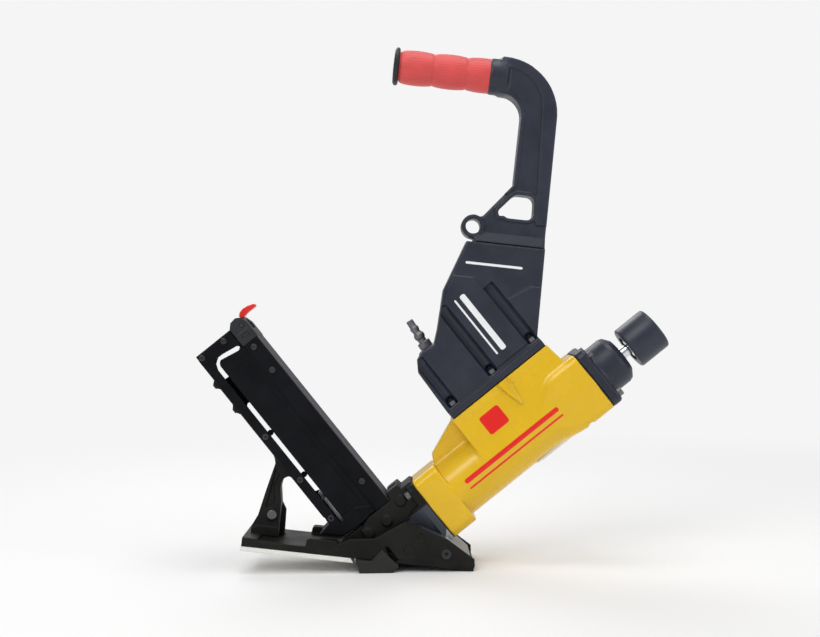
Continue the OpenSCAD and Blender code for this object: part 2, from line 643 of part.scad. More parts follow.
body_casting();
cylinder_sleeve();
sleeve_o_rings();
bumper();
head_gasket();
head_cap();
head_bolts();
plunger_bushing();
valve_guide();
nose_gasket();
nose_casting();
nose_bolts();
guide_plate();
base_shoe();
cheek_bolts();
sole_pad();
sole_screws();
lip_foot();
lip_screws();
magazine_cover_near();
magazine_cover_far();
magazine_screws();
magazine_rail();
load_guide();
latch_housing();
end_plate();
lever_pin();
lever_spring();
magazine_strut();
strut_screws();
strut_bolt();
strut_nut();
handle_gasket();
handle_housing();
housing_screws();
grip_sleeve();
grip_end_cap();
air_plug();
inlet_screen();
exhaust_deflector();
strike_cap();
plunger_shaft();
plunger_nut();
plunger_spring();
head_valve();
valve_o_rings();
valve_spring();
piston();
piston_o_ring();
driver_blade();
blade_pin();
pusher();
pusher_knob();
pusher_coil();
nail_stop_lever();
lever_tip();
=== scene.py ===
import json
import math

import bmesh
import bpy
import numpy as np
from bpy.props import FloatProperty, FloatVectorProperty, PointerProperty
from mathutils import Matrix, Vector


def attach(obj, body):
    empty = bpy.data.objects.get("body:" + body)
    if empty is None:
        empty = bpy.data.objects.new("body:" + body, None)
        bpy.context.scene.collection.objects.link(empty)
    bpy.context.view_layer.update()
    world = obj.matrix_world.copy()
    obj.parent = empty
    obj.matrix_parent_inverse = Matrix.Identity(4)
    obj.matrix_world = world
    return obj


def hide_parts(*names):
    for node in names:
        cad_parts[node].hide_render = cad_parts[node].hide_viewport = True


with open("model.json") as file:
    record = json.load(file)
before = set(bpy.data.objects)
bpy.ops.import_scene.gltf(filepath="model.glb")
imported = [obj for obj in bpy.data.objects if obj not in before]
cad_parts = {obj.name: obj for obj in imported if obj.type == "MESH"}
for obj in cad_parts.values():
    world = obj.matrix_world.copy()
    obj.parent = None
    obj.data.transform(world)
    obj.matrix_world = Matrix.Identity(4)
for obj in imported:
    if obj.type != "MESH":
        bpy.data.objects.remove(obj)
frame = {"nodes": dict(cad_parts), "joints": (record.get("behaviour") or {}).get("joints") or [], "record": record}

bl_info = {
    "name": "Flooring Nailer",
    "version": (1, 0, 0),
    "blender": (4, 5, 0),
    "location": "View3D > Sidebar > Nailer",
    "description": "Castings, covers, grip and fasteners of a flooring nailer around its CAD frame",
    "category": "Object",
}

# ---------- places, in millimetres, in the tool's own frame ----------
# X runs towards the toe, Y across, Z up from the shoe. u climbs the drive axis at 45 degrees and
# v climbs the magazine, both from the nail exit.

MM = 0.001
HALF = math.sqrt(0.5)
EYE = (66.3, 357.6)
BARREL_R = 32.8
BORE_R, HEAD_BORE_R = 24.8, 27.6
NOSE_U, HEAD_U = 80.0, 295.0
FLANGE_V = 60.3
CAP_U, CAP_TOP = 296.0, 338.0
STRIKE_U, STRIKE_L = 347.5, 37.0
SHAFT_R = 6.5
NOSE_PITCH = (28.0, 25.0)
HEAD_PITCH = (25.4, 25.4)
SHOE_HALF, CHEEK = 42.0, 6.0
HEEL, TOE = 138.0, 104.0
MAG_HALF, MAG_WALL = 22.0, 3.0
MAG_LOW, MAG_TOP, LATCH_V = 36.0, 281.0, 258.0
U_LOW, U_HIGH, RAIL_U = -15.0, 50.0, 31.0
SLOT_U, SLOT_HALF = -3.0, 2.3
HOUSING_HALF, ARM_HALF = 26.0, 14.0
SCREW_U = (165.3, 218.5, 272.0)
GROOVE_TOP = (132.0, 160.0, 148.0)
GRIP_Z, GRIP_END, GRIP_ROOT = 519.5, -30.0, 79.0
CREASE_Z = 341.0
INLET, INLET_TURN = (31.5, 224.5), math.radians(-40)
LEVER = (44.0, 277.0)
LEVER_R, LEVER_BORE_R, PIN_BORE_R = 4.6, 2.1, 2.05


def joint(name):
    return next(j for j in frame["joints"] if j["name"] == name)


def mount(name):
    return next(m for m in frame["record"]["mounts"] if m["name"] == name)


UP_DRIVE = -np.array(joint("strike")["axis"])
UP_MAG = np.array(joint("pusher_slide")["axis"])
X_AXIS = (UP_DRIVE - UP_MAG) * HALF
Z_AXIS = (UP_DRIVE + UP_MAG) * HALF
ACROSS = np.array((0.0, 1.0, 0.0))
ORIGIN = np.array(mount("hanging_eye")["pos_m"]) - (EYE[0] * X_AXIS + EYE[1] * Z_AXIS) * MM
TOOL = np.array((X_AXIS, ACROSS, Z_AXIS))
AXES = np.array((UP_DRIVE, ACROSS, UP_MAG))


def row(points, basis=TOOL):
    """Points in millimetres in the tool's frame, or in (u, y, v), as metres in the row's frame."""
    return ORIGIN + np.asarray(points, float) @ basis * MM


# ---------- solid shapes as distance fields ----------

def outline(x, z, points):
    """Signed distance to a closed outline, negative inside."""
    dist, side = 1e9, 1.0
    for (ax, az), (bx, bz) in zip(points, points[1:] + points[:1]):
        ex, ez = bx - ax, bz - az
        wx, wz = x - ax, z - az
        t = np.clip((wx * ex + wz * ez) / (ex * ex + ez * ez), 0, 1)
        dist = np.minimum(dist, (wx - ex * t) ** 2 + (wz - ez * t) ** 2)
        above, below, left = z >= az, z < bz, ex * wz > ez * wx
        side = np.where((above == below) & (below == left), -side, side)
    return side * np.sqrt(dist)


def box2(x, z, half_x, half_z, r):
    a, b = np.abs(x) - half_x + r, np.abs(z) - half_z + r
    return np.minimum(np.maximum(a, b), 0) + np.hypot(np.maximum(a, 0), np.maximum(b, 0)) - r


def both(a, b, r=0.0):
    """Where two fields overlap, with an edge of radius r."""
    a, b = a + r, b + r
    return np.minimum(np.maximum(a, b), 0) + np.hypot(np.maximum(a, 0), np.maximum(b, 0)) - r


def prism(d, t, low, high, r=0.0):
    return both(d, np.abs(t - (low + high) / 2) - (high - low) / 2, r)


def join(a, b, r=0.01):
    """Union with a fillet."""
    h = np.maximum(r - np.abs(a - b), 0) / r
    return np.minimum(a, b) - h * h * r / 4


def cut(a, b, r=0.01):
    """a without b, with a soft lip."""
    return -join(-a, b, r)


def capsule(p, a, b, ra, rb):
    """Tapered round bar between two points."""
    ab = [q - s for q, s in zip(b, a)]
    w = [c - s for c, s in zip(p, a)]
    t = np.clip(sum(i * j for i, j in zip(w, ab)) / sum(i * i for i in ab), 0, 1)
    return np.sqrt(sum((i - j * t) ** 2 for i, j in zip(w, ab))) - (ra + (rb - ra) * t)


def ramp(t, low, high):
    t = np.clip((t - low) / (high - low), 0, 1)
    return t * t * (3 - 2 * t)


def circle(c, r, a0, a1, n):
    """Points on an arc, in degrees."""
    return [
        (c[0] + r * math.cos(math.radians(a0 + (a1 - a0) * i / n)),
         c[1] + r * math.sin(math.radians(a0 + (a1 - a0) * i / n)))
        for i in range(n + 1)
    ]


CORNERS = np.array([(i, j, k) for i in (0, 1) for j in (0, 1) for k in (0, 1)])
EDGES = [(a, b) for a in range(8) for b in range(a + 1, 8) if abs(CORNERS[a] - CORNERS[b]).sum() == 1]


def slope(field, p, h):
    """Gradient and Laplacian of a field at points."""
    mid = field(*p.T)
    grad, bend = np.empty_like(p), -6 * mid
    for i in range(3):
        step = np.zeros(3)
        step[i] = h
        ahead, behind = field(*(p + step).T), field(*(p - step).T)
        grad[:, i] = (ahead - behind) / (2 * h)
        bend = bend + ahead + behind
    return mid, grad, bend / h ** 2


def solid(name, field, low, high, step, basis):
    """A closed mesh of a field: surface nets, drawn onto the surface, with its true normals."""
    count = [int(math.ceil((b - a) / step)) + 1 for a, b in zip(low, high)]
    lines = [np.arange(n, dtype=np.float32) * step + a for n, a in zip(count, low)]
    f = np.broadcast_to(field(*np.meshgrid(*lines, indexing="ij", sparse=True)), count)
    inside = f < 0
    shape = [n - 1 for n in count]
    total = sum(
        inside[i:i + shape[0], j:j + shape[1], k:k + shape[2]].astype(np.int8) for i, j, k in CORNERS
    )
    cells = np.argwhere((total > 0) & (total < 8))
    number = np.full(shape, -1, np.int32)
    number[tuple(cells.T)] = np.arange(len(cells))
    value = np.stack([f[tuple((cells + c).T)] for c in CORNERS], 1)
    spot, hits = np.zeros((len(cells), 3)), np.zeros((len(cells), 1))
    for a, b in EDGES:
        va, vb = value[:, a:a + 1], value[:, b:b + 1]
        hit = (va < 0) != (vb < 0)
        t = np.where(hit, va / np.where(hit, va - vb, 1), 0)
        spot += hit * (CORNERS[a] + t * (CORNERS[b] - CORNERS[a]))
        hits += hit
    middle = (cells + spot / hits) * step + low
    p = middle.copy()
    for _ in range(3):
        d, g, _ = slope(field, p, 0.2 * step)
        p -= (d / np.maximum((g * g).sum(1), 0.25))[:, None] * g
        p = middle + np.clip(p - middle, -0.45 * step, 0.45 * step)
    faces = []
    for axis in range(3):
        e1, e2 = (axis + 1) % 3, (axis + 2) % 3
        near = np.take(inside, range(count[axis] - 1), axis)
        far = np.take(inside, range(1, count[axis]), axis)
        at = np.argwhere(near != far)
        at = at[(at[:, e1] > 0) & (at[:, e2] > 0) & (at[:, e1] < shape[e1]) & (at[:, e2] < shape[e2])]
        d1, d2 = np.eye(3, dtype=int)[e1], np.eye(3, dtype=int)[e2]
        quad = np.stack([number[tuple((at - o).T)] for o in (0 * d1, d1, d1 + d2, d2)], 1)
        out = near[tuple(at.T)]
        faces.append(np.where(out[:, None], quad, quad[:, ::-1]))
    faces = np.concatenate(faces)
    if np.linalg.det(basis) < 0:
        faces = faces[:, ::-1]
    _, normal, _ = slope(field, p, 0.3 * step)
    normal /= np.maximum(np.linalg.norm(normal, axis=1), 1e-6)[:, None]
    _, _, bend = slope(field, p, 1.1)
    mesh = bpy.data.meshes.new(name)
    mesh.from_pydata(row(p, basis), [], faces.tolist())
    mesh.attributes.new("edge", "FLOAT", "POINT").data.foreach_set("value", np.clip(bend * 1.4, -1, 1))
    mesh.polygons.foreach_set("use_smooth", np.ones(len(mesh.polygons), bool))
    mesh.normals_split_custom_set_from_vertices(normal @ basis)
    return mesh


# ---------- turned shapes and fasteners ----------

def turned(name, profile, at, axis, sides=96, smooth=30):
    """A lathe mesh: profile is (radius, height) in millimetres, from the axis round to the axis."""
    axis = Vector(axis).normalized()
    turn = axis.to_track_quat("Z", "Y").to_matrix()
    bm = bmesh.new()
    rings = []
    for r, z in profile:
        count = 1 if r < 1e-6 else sides
        rings.append([
            bm.verts.new(Vector(at) + turn @ Vector((
                r * math.cos(2 * math.pi * i / sides), r * math.sin(2 * math.pi * i / sides), z)) * MM)
            for i in range(count)
        ])
    for low, high in zip(rings, rings[1:]):
        for i in range(sides):
            k = (i + 1) % sides
            loop = [low[i % len(low)], low[k % len(low)], high[k % len(high)], high[i % len(high)]]
            corners = list(dict.fromkeys(loop))
            if len(corners) > 2:
                bm.faces.new(corners)
    return closed(name, bm, smooth)


def closed(name, bm, smooth=30):
    bmesh.ops.remove_doubles(bm, verts=bm.verts, dist=1e-7)
    bmesh.ops.recalc_face_normals(bm, faces=bm.faces)
    mesh = bpy.data.meshes.new(name)
    bm.to_mesh(mesh)
    bm.free()
    mesh.polygons.foreach_set("use_smooth", np.ones(len(mesh.polygons), bool))
    mesh.set_sharp_from_angle(angle=math.radians(smooth))
    return mesh


def screw_profile(head, socket):
    """Head of a socket screw with radius 1: rim, chamfer, and the bottom of its socket."""
    return [(0, -0.4), (0.6, -0.4), (0.6, 0), (0.94, 0), (1, 0.06), (1, head - 0.14), (0.97, head - 0.05),
            (0.88, head), (socket * 1.16, head), (socket * 1.02, head - 0.08)]


def screw_mesh(name, head=1.1, socket=0.55, depth=0.6):
    """A socket screw's head, radius 1, standing on z = 0 with the stub of its shank below."""
    bm = bmesh.new()
    sides = 36
    rings = []
    for r, z in screw_profile(head, socket):
        count = 1 if r == 0 else sides
        rings.append([bm.verts.new((r * math.cos(2 * math.pi * i / sides),
                                    r * math.sin(2 * math.pi * i / sides), z)) for i in range(count)])
    for z in (head - 0.08, head - depth):
        ring = []
        for i in range(sides):
            a = 2 * math.pi * i / sides
            flat = math.cos(math.pi / 6) / math.cos((a % (math.pi / 3)) - math.pi / 6)
            ring.append(bm.verts.new((socket * flat * math.cos(a), socket * flat * math.sin(a), z)))
        rings.append(ring)
    rings.append([bm.verts.new((0, 0, head - depth - 0.1))])
    for low, high in zip(rings, rings[1:]):
        for i in range(sides):
            k = (i + 1) % sides
            loop = [low[i % len(low)], low[k % len(low)], high[k % len(high)], high[i % len(high)]]
            bm.faces.new(list(dict.fromkeys(loop)))
    mesh = closed(name, bm, 35)
    return mesh


# ---------- finishes ----------

def node(tree, kind, **inputs):
    n = tree.nodes.new(kind)
    for key, value in inputs.items():
        socket = n.inputs[key.replace("_", " ")]
        if isinstance(value, bpy.types.NodeSocket):
            tree.links.new(value, socket)
        else:
            socket.default_value = value
    return n


def blend_colour(tree, factor, a, b, mode="MIX"):
    mix = tree.nodes.new("ShaderNodeMix")
    mix.data_type, mix.blend_type = "RGBA", mode
    for socket, value in zip((mix.inputs[0], mix.inputs[6], mix.inputs[7]), (factor, a, b)):
        if isinstance(value, bpy.types.NodeSocket):
            tree.links.new(value, socket)
        else:
            socket.default_value = value
    return mix.outputs[2]


def steps(tree, value, low, high, out_low=0.0, out_high=1.0):
    n = node(tree, "ShaderNodeMapRange", Value=value)
    n.interpolation_type = "SMOOTHSTEP"
    for i, v in enumerate((low, high, out_low, out_high)):
        n.inputs[i + 1].default_value = v
    return n.outputs[0]


def maths(tree, kind, a, b=0.0):
    n = tree.nodes.new("ShaderNodeMath")
    n.operation = kind
    for socket, value in zip(n.inputs, (a, b)):
        if isinstance(value, bpy.types.NodeSocket):
            tree.links.new(value, socket)
        else:
            socket.default_value = value
    return n.outputs[0]


def finish(name, colour, rough, metallic=0.0, wear=None, wear_metal=0.0, wear_rough=0.35, wear_from=0.35,
           grain=900.0, grain_lift=0.2, mottle=0.06, crease_shade_amount=0.35, coat=0.0, brushed=None, sheen=0.0,
           specular=0.5, prints_and_highlights=None):
    """A procedural surface: drifting colour, fine grain, worn edges, painted shade in corners and creases."""
    mat = bpy.data.materials.new(name)
    mat.use_nodes = True
    tree = mat.node_tree
    shader = tree.nodes["Principled BSDF"]
    place = tree.nodes.new("ShaderNodeTexCoord").outputs["Object"]
    broad = node(tree, "ShaderNodeTexNoise", Vector=place, Scale=38.0, Detail=4.0).outputs["Fac"]
    dark = tuple(c * (1 - 2.2 * mottle) for c in colour) + (1,)
    light = tuple(min(1, c * (1 + 1.2 * mottle) + 0.02 * mottle) for c in colour) + (1,)
    tint = blend_colour(tree, steps(tree, broad, 0.3, 0.7), dark, light)
    # Prints, and on some finishes painted highlights, laid over the colour.
    if prints_and_highlights:
        tint = prints_and_highlights(tree, place, tint)
    edge = node(tree, "ShaderNodeAttribute")
    edge.attribute_name = "edge"
    edge = edge.outputs["Fac"]
    # Painted shade: concave creases and hollows, found from the edge curvature, are darkened towards a quarter of
    # the colour.
    crease_shade_mask = steps(tree, edge, -0.15, -0.8, 0.0, crease_shade_amount)
    tint = blend_colour(tree, crease_shade_mask, tint, tuple(0.25 * c for c in colour) + (1,))
    chips = node(tree, "ShaderNodeTexNoise", Vector=place, Scale=260.0, Detail=5.0,
            Roughness=0.7).outputs["Fac"]
    rough_map = steps(tree, broad, 0.25, 0.75, rough * 0.88, min(1, rough * 1.14))
    if wear:
        worn = maths(tree, "ADD", edge, maths(tree, "MULTIPLY_ADD", chips, 1.6))
        worn.node.inputs[1].links[0].from_node.inputs[2].default_value = -0.8
        worn = steps(tree, worn, wear_from, wear_from + 0.28)
        tint = blend_colour(tree, worn, tint, (*wear, 1))
        mix = tree.nodes.new("ShaderNodeMix")
        tree.links.new(worn, mix.inputs[0])
        tree.links.new(rough_map, mix.inputs[2])
        mix.inputs[3].default_value = wear_rough
        rough_map = mix.outputs[0]
        if wear_metal != metallic:
            tree.links.new(steps(tree, worn, 0.0, 1.0, metallic, wear_metal), shader.inputs["Metallic"])
    if not shader.inputs["Metallic"].links:
        shader.inputs["Metallic"].default_value = metallic
    if brushed:
        turn = node(tree, "ShaderNodeMapping", Vector=place, Scale=brushed)
        grain_place = turn.outputs[0]
    else:
        grain_place = place
    fine = node(tree, "ShaderNodeTexNoise", Vector=grain_place, Scale=grain, Detail=3.0).outputs["Fac"]
    bump = node(tree, "ShaderNodeBump", Height=fine, Strength=grain_lift, Distance=0.0003)
    soft = node(tree, "ShaderNodeBump", Height=broad, Strength=0.25, Distance=0.0004)
    tree.links.new(soft.outputs[0], bump.inputs["Normal"])
    tree.links.new(bump.outputs[0], shader.inputs["Normal"])
    tree.links.new(tint, shader.inputs["Base Color"])
    tree.links.new(rough_map, shader.inputs["Roughness"])
    shader.inputs["Coat Weight"].default_value = coat
    shader.inputs["Coat Roughness"].default_value = 0.12
    shader.inputs["Sheen Weight"].default_value = sheen
    shader.inputs["Specular IOR Level"].default_value = specular
    return mat


def panel_mask(tree, place, centre, half, corner, side=-1, basis=AXES):
    """1 inside a rounded rectangle on one side of the tool, in (u, v), or in (X, Z) with the TOOL basis."""
    corner_row = row((centre[0], 0, centre[1]), basis)
    shift = node(tree, "ShaderNodeVectorMath", **{"Vector": place})
    shift.operation = "SUBTRACT"
    shift.inputs[1].default_value = corner_row
    spots = []
    for axis, reach in ((basis[0], half[0]), (basis[2], half[1])):
        dot = node(tree, "ShaderNodeVectorMath", Vector=shift.outputs[0])
        dot.operation = "DOT_PRODUCT"
        dot.inputs[1].default_value = axis
        away = maths(tree, "ABSOLUTE", dot.outputs["Value"])
        spots.append(maths(tree, "MAXIMUM", maths(tree, "SUBTRACT", away, (reach - corner) * MM), 0.0))
    square = maths(tree, "ADD", maths(tree, "POWER", spots[0], 2.0), maths(tree, "POWER", spots[1], 2.0))
    dist = maths(tree, "SUBTRACT", maths(tree, "SQRT", square), corner * MM)
    inside = steps(tree, dist, 0.00012, -0.00012)
    split = node(tree, "ShaderNodeSeparateXYZ", Vector=place)
    return maths(tree, "MULTIPLY", inside, steps(tree, split.outputs["Y"], 0.004 * side, 0.012 * side))


def barrel_print(tree, place, tint):
    """Plain red badge and two plain stripes on the casting's sides."""
    red = (*settings().print_colour, 1)
    for side in (-1, 1):
        for centre, half, corner in (((188.5, 34.0), (12.5, 11.0), 3.0), ((186.0, 2.2), (62.0, 2.6), 2.6),
                                     ((186.0, -6.2), (62.0, 1.1), 1.1)):
            tint = blend_colour(tree, panel_mask(tree, place, centre, half, corner, side), tint, red)
    return tint


def housing_print(tree, place, tint):
    """Plain white bars on the sides of the air chamber."""
    white = (0.85, 0.86, 0.88, 1)
    for side in (-1, 1):
        for centre, half, corner, basis in (((243.5, 121.0), (3.2, 36.0), 2.4, AXES),
                ((234.5, 121.0), (1.0, 36.0), 1.0, AXES),
                                            ((92.0, 318.0), (30.0, 1.3), 1.3, TOOL)):
            tint = blend_colour(tree, panel_mask(tree, place, centre, half, corner, side, basis), tint,
                    white)
    return tint


def beyond(tree, place, axis, start, width=0.6):
    """1 where a point lies further than start millimetres along an axis of the tool."""
    away = node(tree, "ShaderNodeVectorMath", Vector=place)
    away.operation = "DOT_PRODUCT"
    away.inputs[1].default_value = axis
    start = float(ORIGIN @ axis) + start * MM
    return steps(tree, away.outputs["Value"], start, start + width * MM)


def nose_ramp_grey_and_flare_highlight(tree, place, tint):
    """Light grey on the ramp at the toe, and a painted highlight that lightens the flare under the barrel."""
    # Painted highlight: the flare's face, lit from above, lightened to a dark slate grey.
    tint = blend_colour(tree, maths(tree, "MULTIPLY", beyond(tree, place, UP_DRIVE, 47, 4),
            beyond(tree, place, -UP_MAG, -11, 2)),
                        tint, (0.055, 0.06, 0.078, 1))
    # Light grey on the ramp at the toe.
    return blend_colour(tree, beyond(tree, place, X_AXIS, 71.5, 1.0), tint, (0.36, 0.36, 0.37, 1))


def track_face_highlight(tree, place, tint):
    """Painted highlight: a paler colour on the magazine's upward face towards the barrel."""
    return blend_colour(tree, beyond(tree, place, UP_DRIVE, U_HIGH - 0.9), tint, (0.075, 0.072, 0.085, 1))


def settings():
    return bpy.context.scene.nailer


FINISHES = {}


def make_finishes():
    s = settings()
    steel = (0.56, 0.57, 0.6)
    # The paint values and the finishes below also set how strongly creases are darkened: painted shade.
    paint = dict(grain=420, grain_lift=0.08, mottle=0.012, crease_shade_amount=0.3)
    FINISHES.update(
        yellow_paint=finish("yellow_paint", s.casting_colour, 0.26, wear=(0.62, 0.6, 0.55),
                wear_metal=0.8,
                            wear_from=1.34, coat=0.3, specular=0.35, prints_and_highlights=barrel_print, **paint),
        black_paint=finish("black_paint", s.housing_colour, 0.4, wear=(0.2, 0.21, 0.24), wear_metal=0.6,
                           wear_from=1.32, grain=700, grain_lift=0.25, mottle=0.08, crease_shade_amount=0.5, specular=0.4,
                           prints_and_highlights=housing_print),
        shoe_black=finish("shoe_black", s.shoe_colour, 0.5, wear=(0.2, 0.2, 0.19), wear_metal=0.6,
                          wear_from=1.26, grain=520, grain_lift=0.45, mottle=0.14, crease_shade_amount=0.5, specular=0.18),
        nose_black=finish("nose_black", s.shoe_colour, 0.5, wear=(0.2, 0.2, 0.19), wear_metal=0.6,
                          wear_from=1.26, grain=520, grain_lift=0.45, mottle=0.14, crease_shade_amount=0.5, specular=0.2,
                          prints_and_highlights=nose_ramp_grey_and_flare_highlight),
        black_anodised=finish("black_anodised", s.magazine_colour, 0.52, wear=(0.2, 0.2, 0.22),
                wear_metal=0.6,
                              wear_from=1.32, grain=900, grain_lift=0.15, mottle=0.1, specular=0.1,
                              brushed=(1.0, 1.0, 0.25), prints_and_highlights=track_face_highlight),
        bare_aluminium=finish("bare_aluminium", (0.72, 0.73, 0.75), 0.38, metallic=1.0, grain=800,
                              brushed=(0.2, 1, 1)),
        hard_steel=finish("hard_steel", steel, 0.33, metallic=1.0, grain=900, brushed=(1, 1, 0.12)),
        dark_steel=finish("dark_steel", (0.17, 0.17, 0.185), 0.42, metallic=0.8, grain=900,
                grain_lift=0.25),
        black_steel=finish("black_steel", (0.035, 0.036, 0.04), 0.42, metallic=0.4, grain=900,
                grain_lift=0.25),
        lip_steel=finish("lip_steel", (0.02, 0.02, 0.019), 0.46, wear=(0.3, 0.29, 0.27), wear_metal=0.8,
                         wear_from=1.14, grain=600, grain_lift=0.4, specular=0.3),
        plated_steel=finish("plated_steel", (0.75, 0.76, 0.8), 0.16, metallic=1.0, grain=1200,
                grain_lift=0.05),
        black_rubber=finish("black_rubber", (0.012, 0.012, 0.012), 0.7, grain=1000, grain_lift=0.35,
                specular=0.3),
        red_rubber=finish("red_rubber", s.grip_colour, 0.5, wear=(0.6, 0.16, 0.14), wear_rough=0.4,
                          wear_from=1.25, grain=1300, grain_lift=0.5, mottle=0.05, sheen=0.15),
        black_plastic=finish("black_plastic", (0.016, 0.017, 0.021), 0.45, grain=1500, grain_lift=0.3,
                             wear=(0.08, 0.08, 0.09), wear_rough=0.5, wear_from=1.2, specular=0.35),
        cap_plastic=finish("cap_plastic", s.cap_colour, 0.36, grain=1000, grain_lift=0.12, mottle=0.08,
                           wear=(0.12, 0.13, 0.15), wear_rough=0.6, wear_from=1.15, specular=0.45),
        white_plastic=finish("white_plastic", (0.82, 0.81, 0.77), 0.42, grain=1100, mottle=0.03,
                             wear=(0.55, 0.52, 0.46), wear_rough=0.7, wear_from=1.1),
        pale_plastic=finish("pale_plastic", (0.7, 0.71, 0.78), 0.3, grain=900, mottle=0.03),
        red_plastic=finish("red_plastic", (0.82, 0.014, 0.006), 0.28, grain=900, grain_lift=0.1,
                mottle=0.04),
        bronze=finish("bronze", (0.55, 0.36, 0.16), 0.35, metallic=1.0, grain=900),
    )


# ---------- pieces ----------

SLOT_OF = {s["node"]: s["material_slot"] for s in frame["record"]["subparts"]}
BODY_OF = {n: b for b, names in frame["record"]["behaviour"]["bodies"].items() for n in names}


def piece(mesh, *nodes):
    """Shows a mesh in place of CAD nodes, on their body and in their finish."""
    obj = bpy.data.objects.new(mesh.name, mesh)
    bpy.context.scene.collection.objects.link(obj)
    slot = SLOT_OF[nodes[0]]
    mesh.materials.clear()
    mesh.materials.append(FINISHES[slot])
    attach(obj, BODY_OF[nodes[0]])
    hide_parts(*nodes)
    return obj


def drive_point(u, y=0.0, v=0.0):
    return row((u, y, v), AXES)


WEB_LINE = [(109, 10), (109, 35.5), (114, 44.5), (154.3, 60.3), (165, 60.3), (165, 10)]


def casting(u, y, v):
    rho, side = np.hypot(y, v), np.abs(y)
    f = prism(rho - BARREL_R, u, NOSE_U, HEAD_U, 1)
    grow = ramp(u, 214, 266)
    head = prism(box2(v, y, 31 + 3.5 * grow, 31 + 3 * grow, 29 - 20 * grow), u, 208, HEAD_U, 1.4)
    f = join(f, head, 3)
    draft = side - 27 - (FLANGE_V - v) * 0.075
    block = both(outline(u, v, [(153.5, 0), (153.5, 62), (280, 62), (284, 33), (284, 0)]), draft, 2.0)
    f = join(f, prism(outline(u, v, WEB_LINE), y, -9, 9, 2.5), 7)
    f = join(f, block, 3.5)
    f = join(f, prism(box2(u - 217, v - 57.4, 63, 4.2, 0.5), y, -27.8, 27.8, 0.9), 1.5)
    f = join(f, prism(box2(v, y, 36.5, 33.2, 10), u, NOSE_U, 109, 1.8), 2.0)
    f = join(f, capsule((u, side, v), (220.6, 26.4, 62), (221.8, 29.6, 30), 8.2, 1.6), 1.2)
    f = cut(f, capsule((u, side, v), (220.6, 33.2, 66), (221.4, 34.2, 35), 6.9, 2.6), 0.5)
    f = join(f, capsule((u, y, v), (204, 0, -23.4), (254, 0, -22.4), 11.6, 12.6), 5)
    f = cut(f, capsule((u, y, v), (265.2, -40, -35.5), (265.2, 40, -35.5), 3.4, 3.4), 1.5)
    f = np.maximum(f, v - FLANGE_V)
    f = cut(f, prism(rho - BORE_R, u, NOSE_U - 5, 214))
    f = cut(f, prism(rho - HEAD_BORE_R, u, 211.4, HEAD_U + 5))
    for a in (-1, 1):
        for b in (-1, 1):
            f = cut(f, np.maximum(np.hypot(v - a * NOSE_PITCH[0], y - b * NOSE_PITCH[1]) - 3.2, u - 98))
    return f


def cap_field(u, y, v):
    rho = np.hypot(y, v)
    flange = prism(box2(v, y, 34, 34, 9), u, CAP_U, CAP_U + 9.5, 1.8)
    dome = outline(rho, u, [(0, CAP_U), (28.5, CAP_U), (28.5, 328.0), (26.8, 332.6), (19.5, CAP_TOP),
            (0, CAP_TOP)])
    f = join(flange, both(dome + 2.2, dome + 2.2) - 2.2, 9)
    for a in (-1, 1):
        for b in (-1, 1):
            f = join(f, prism(np.hypot(v - a * HEAD_PITCH[0], y - b * HEAD_PITCH[1]) - 7.4, u, CAP_U,
                    CAP_U + 11, 1.2), 3)
    f = join(f, prism(rho - 12.5, u, CAP_TOP - 4, CAP_TOP + 0.4, 0.4), 2)
    f = cut(f, prism(rho - 12, u, CAP_U - 5, CAP_TOP - 5))
    f = cut(f, prism(rho - 22.5, u, CAP_U - 5, CAP_U + 6))
    return cut(f, rho - (SHAFT_R + 0.25))


class NAILER_OT_casting(bpy.types.Operator):
    """Yellow body casting with its barrel, handle flange and ribs"""
    bl_idname = "nailer.casting"
    bl_label = "Body Casting"

    def execute(self, context):
        mesh = solid("body_casting_shell", casting, (78, -38, -39), (297, 38, 63),
                settings().casting_grid, AXES)
        piece(mesh, "body_casting")
        return {"FINISHED"}


class NAILER_OT_head(bpy.types.Operator):
    """Head cap, with its bore for the plunger shaft, and strike cap"""
    bl_idname = "nailer.head"
    bl_label = "Head and Strike Cap"

    def execute(self, context):
        mesh = solid("head_cap_shell", cap_field, (294, -37, -37), (341, 37, 37), settings().fine_grid,
                AXES)
        piece(mesh, "head_cap")
        r, l = 24.0, STRIKE_L
        profile = [(0, 7), (15, 7), (15, 0), (r - 2.2, 0), (r - 1.2, 0.3), (r - 0.4, 1.2), (r, 2.4),
                (r, l - 3)]
        profile += circle((r - 3, l - 3), 3, 12, 90, 7)
        profile += [(r * 0.6, l + 0.25), (r * 0.3, l + 0.4), (0, l + 0.45)]
        cap = turned("strike_cap_turned", profile, drive_point(STRIKE_U), UP_DRIVE)
        piece(cap, "strike_cap")
        return {"FINISHED"}


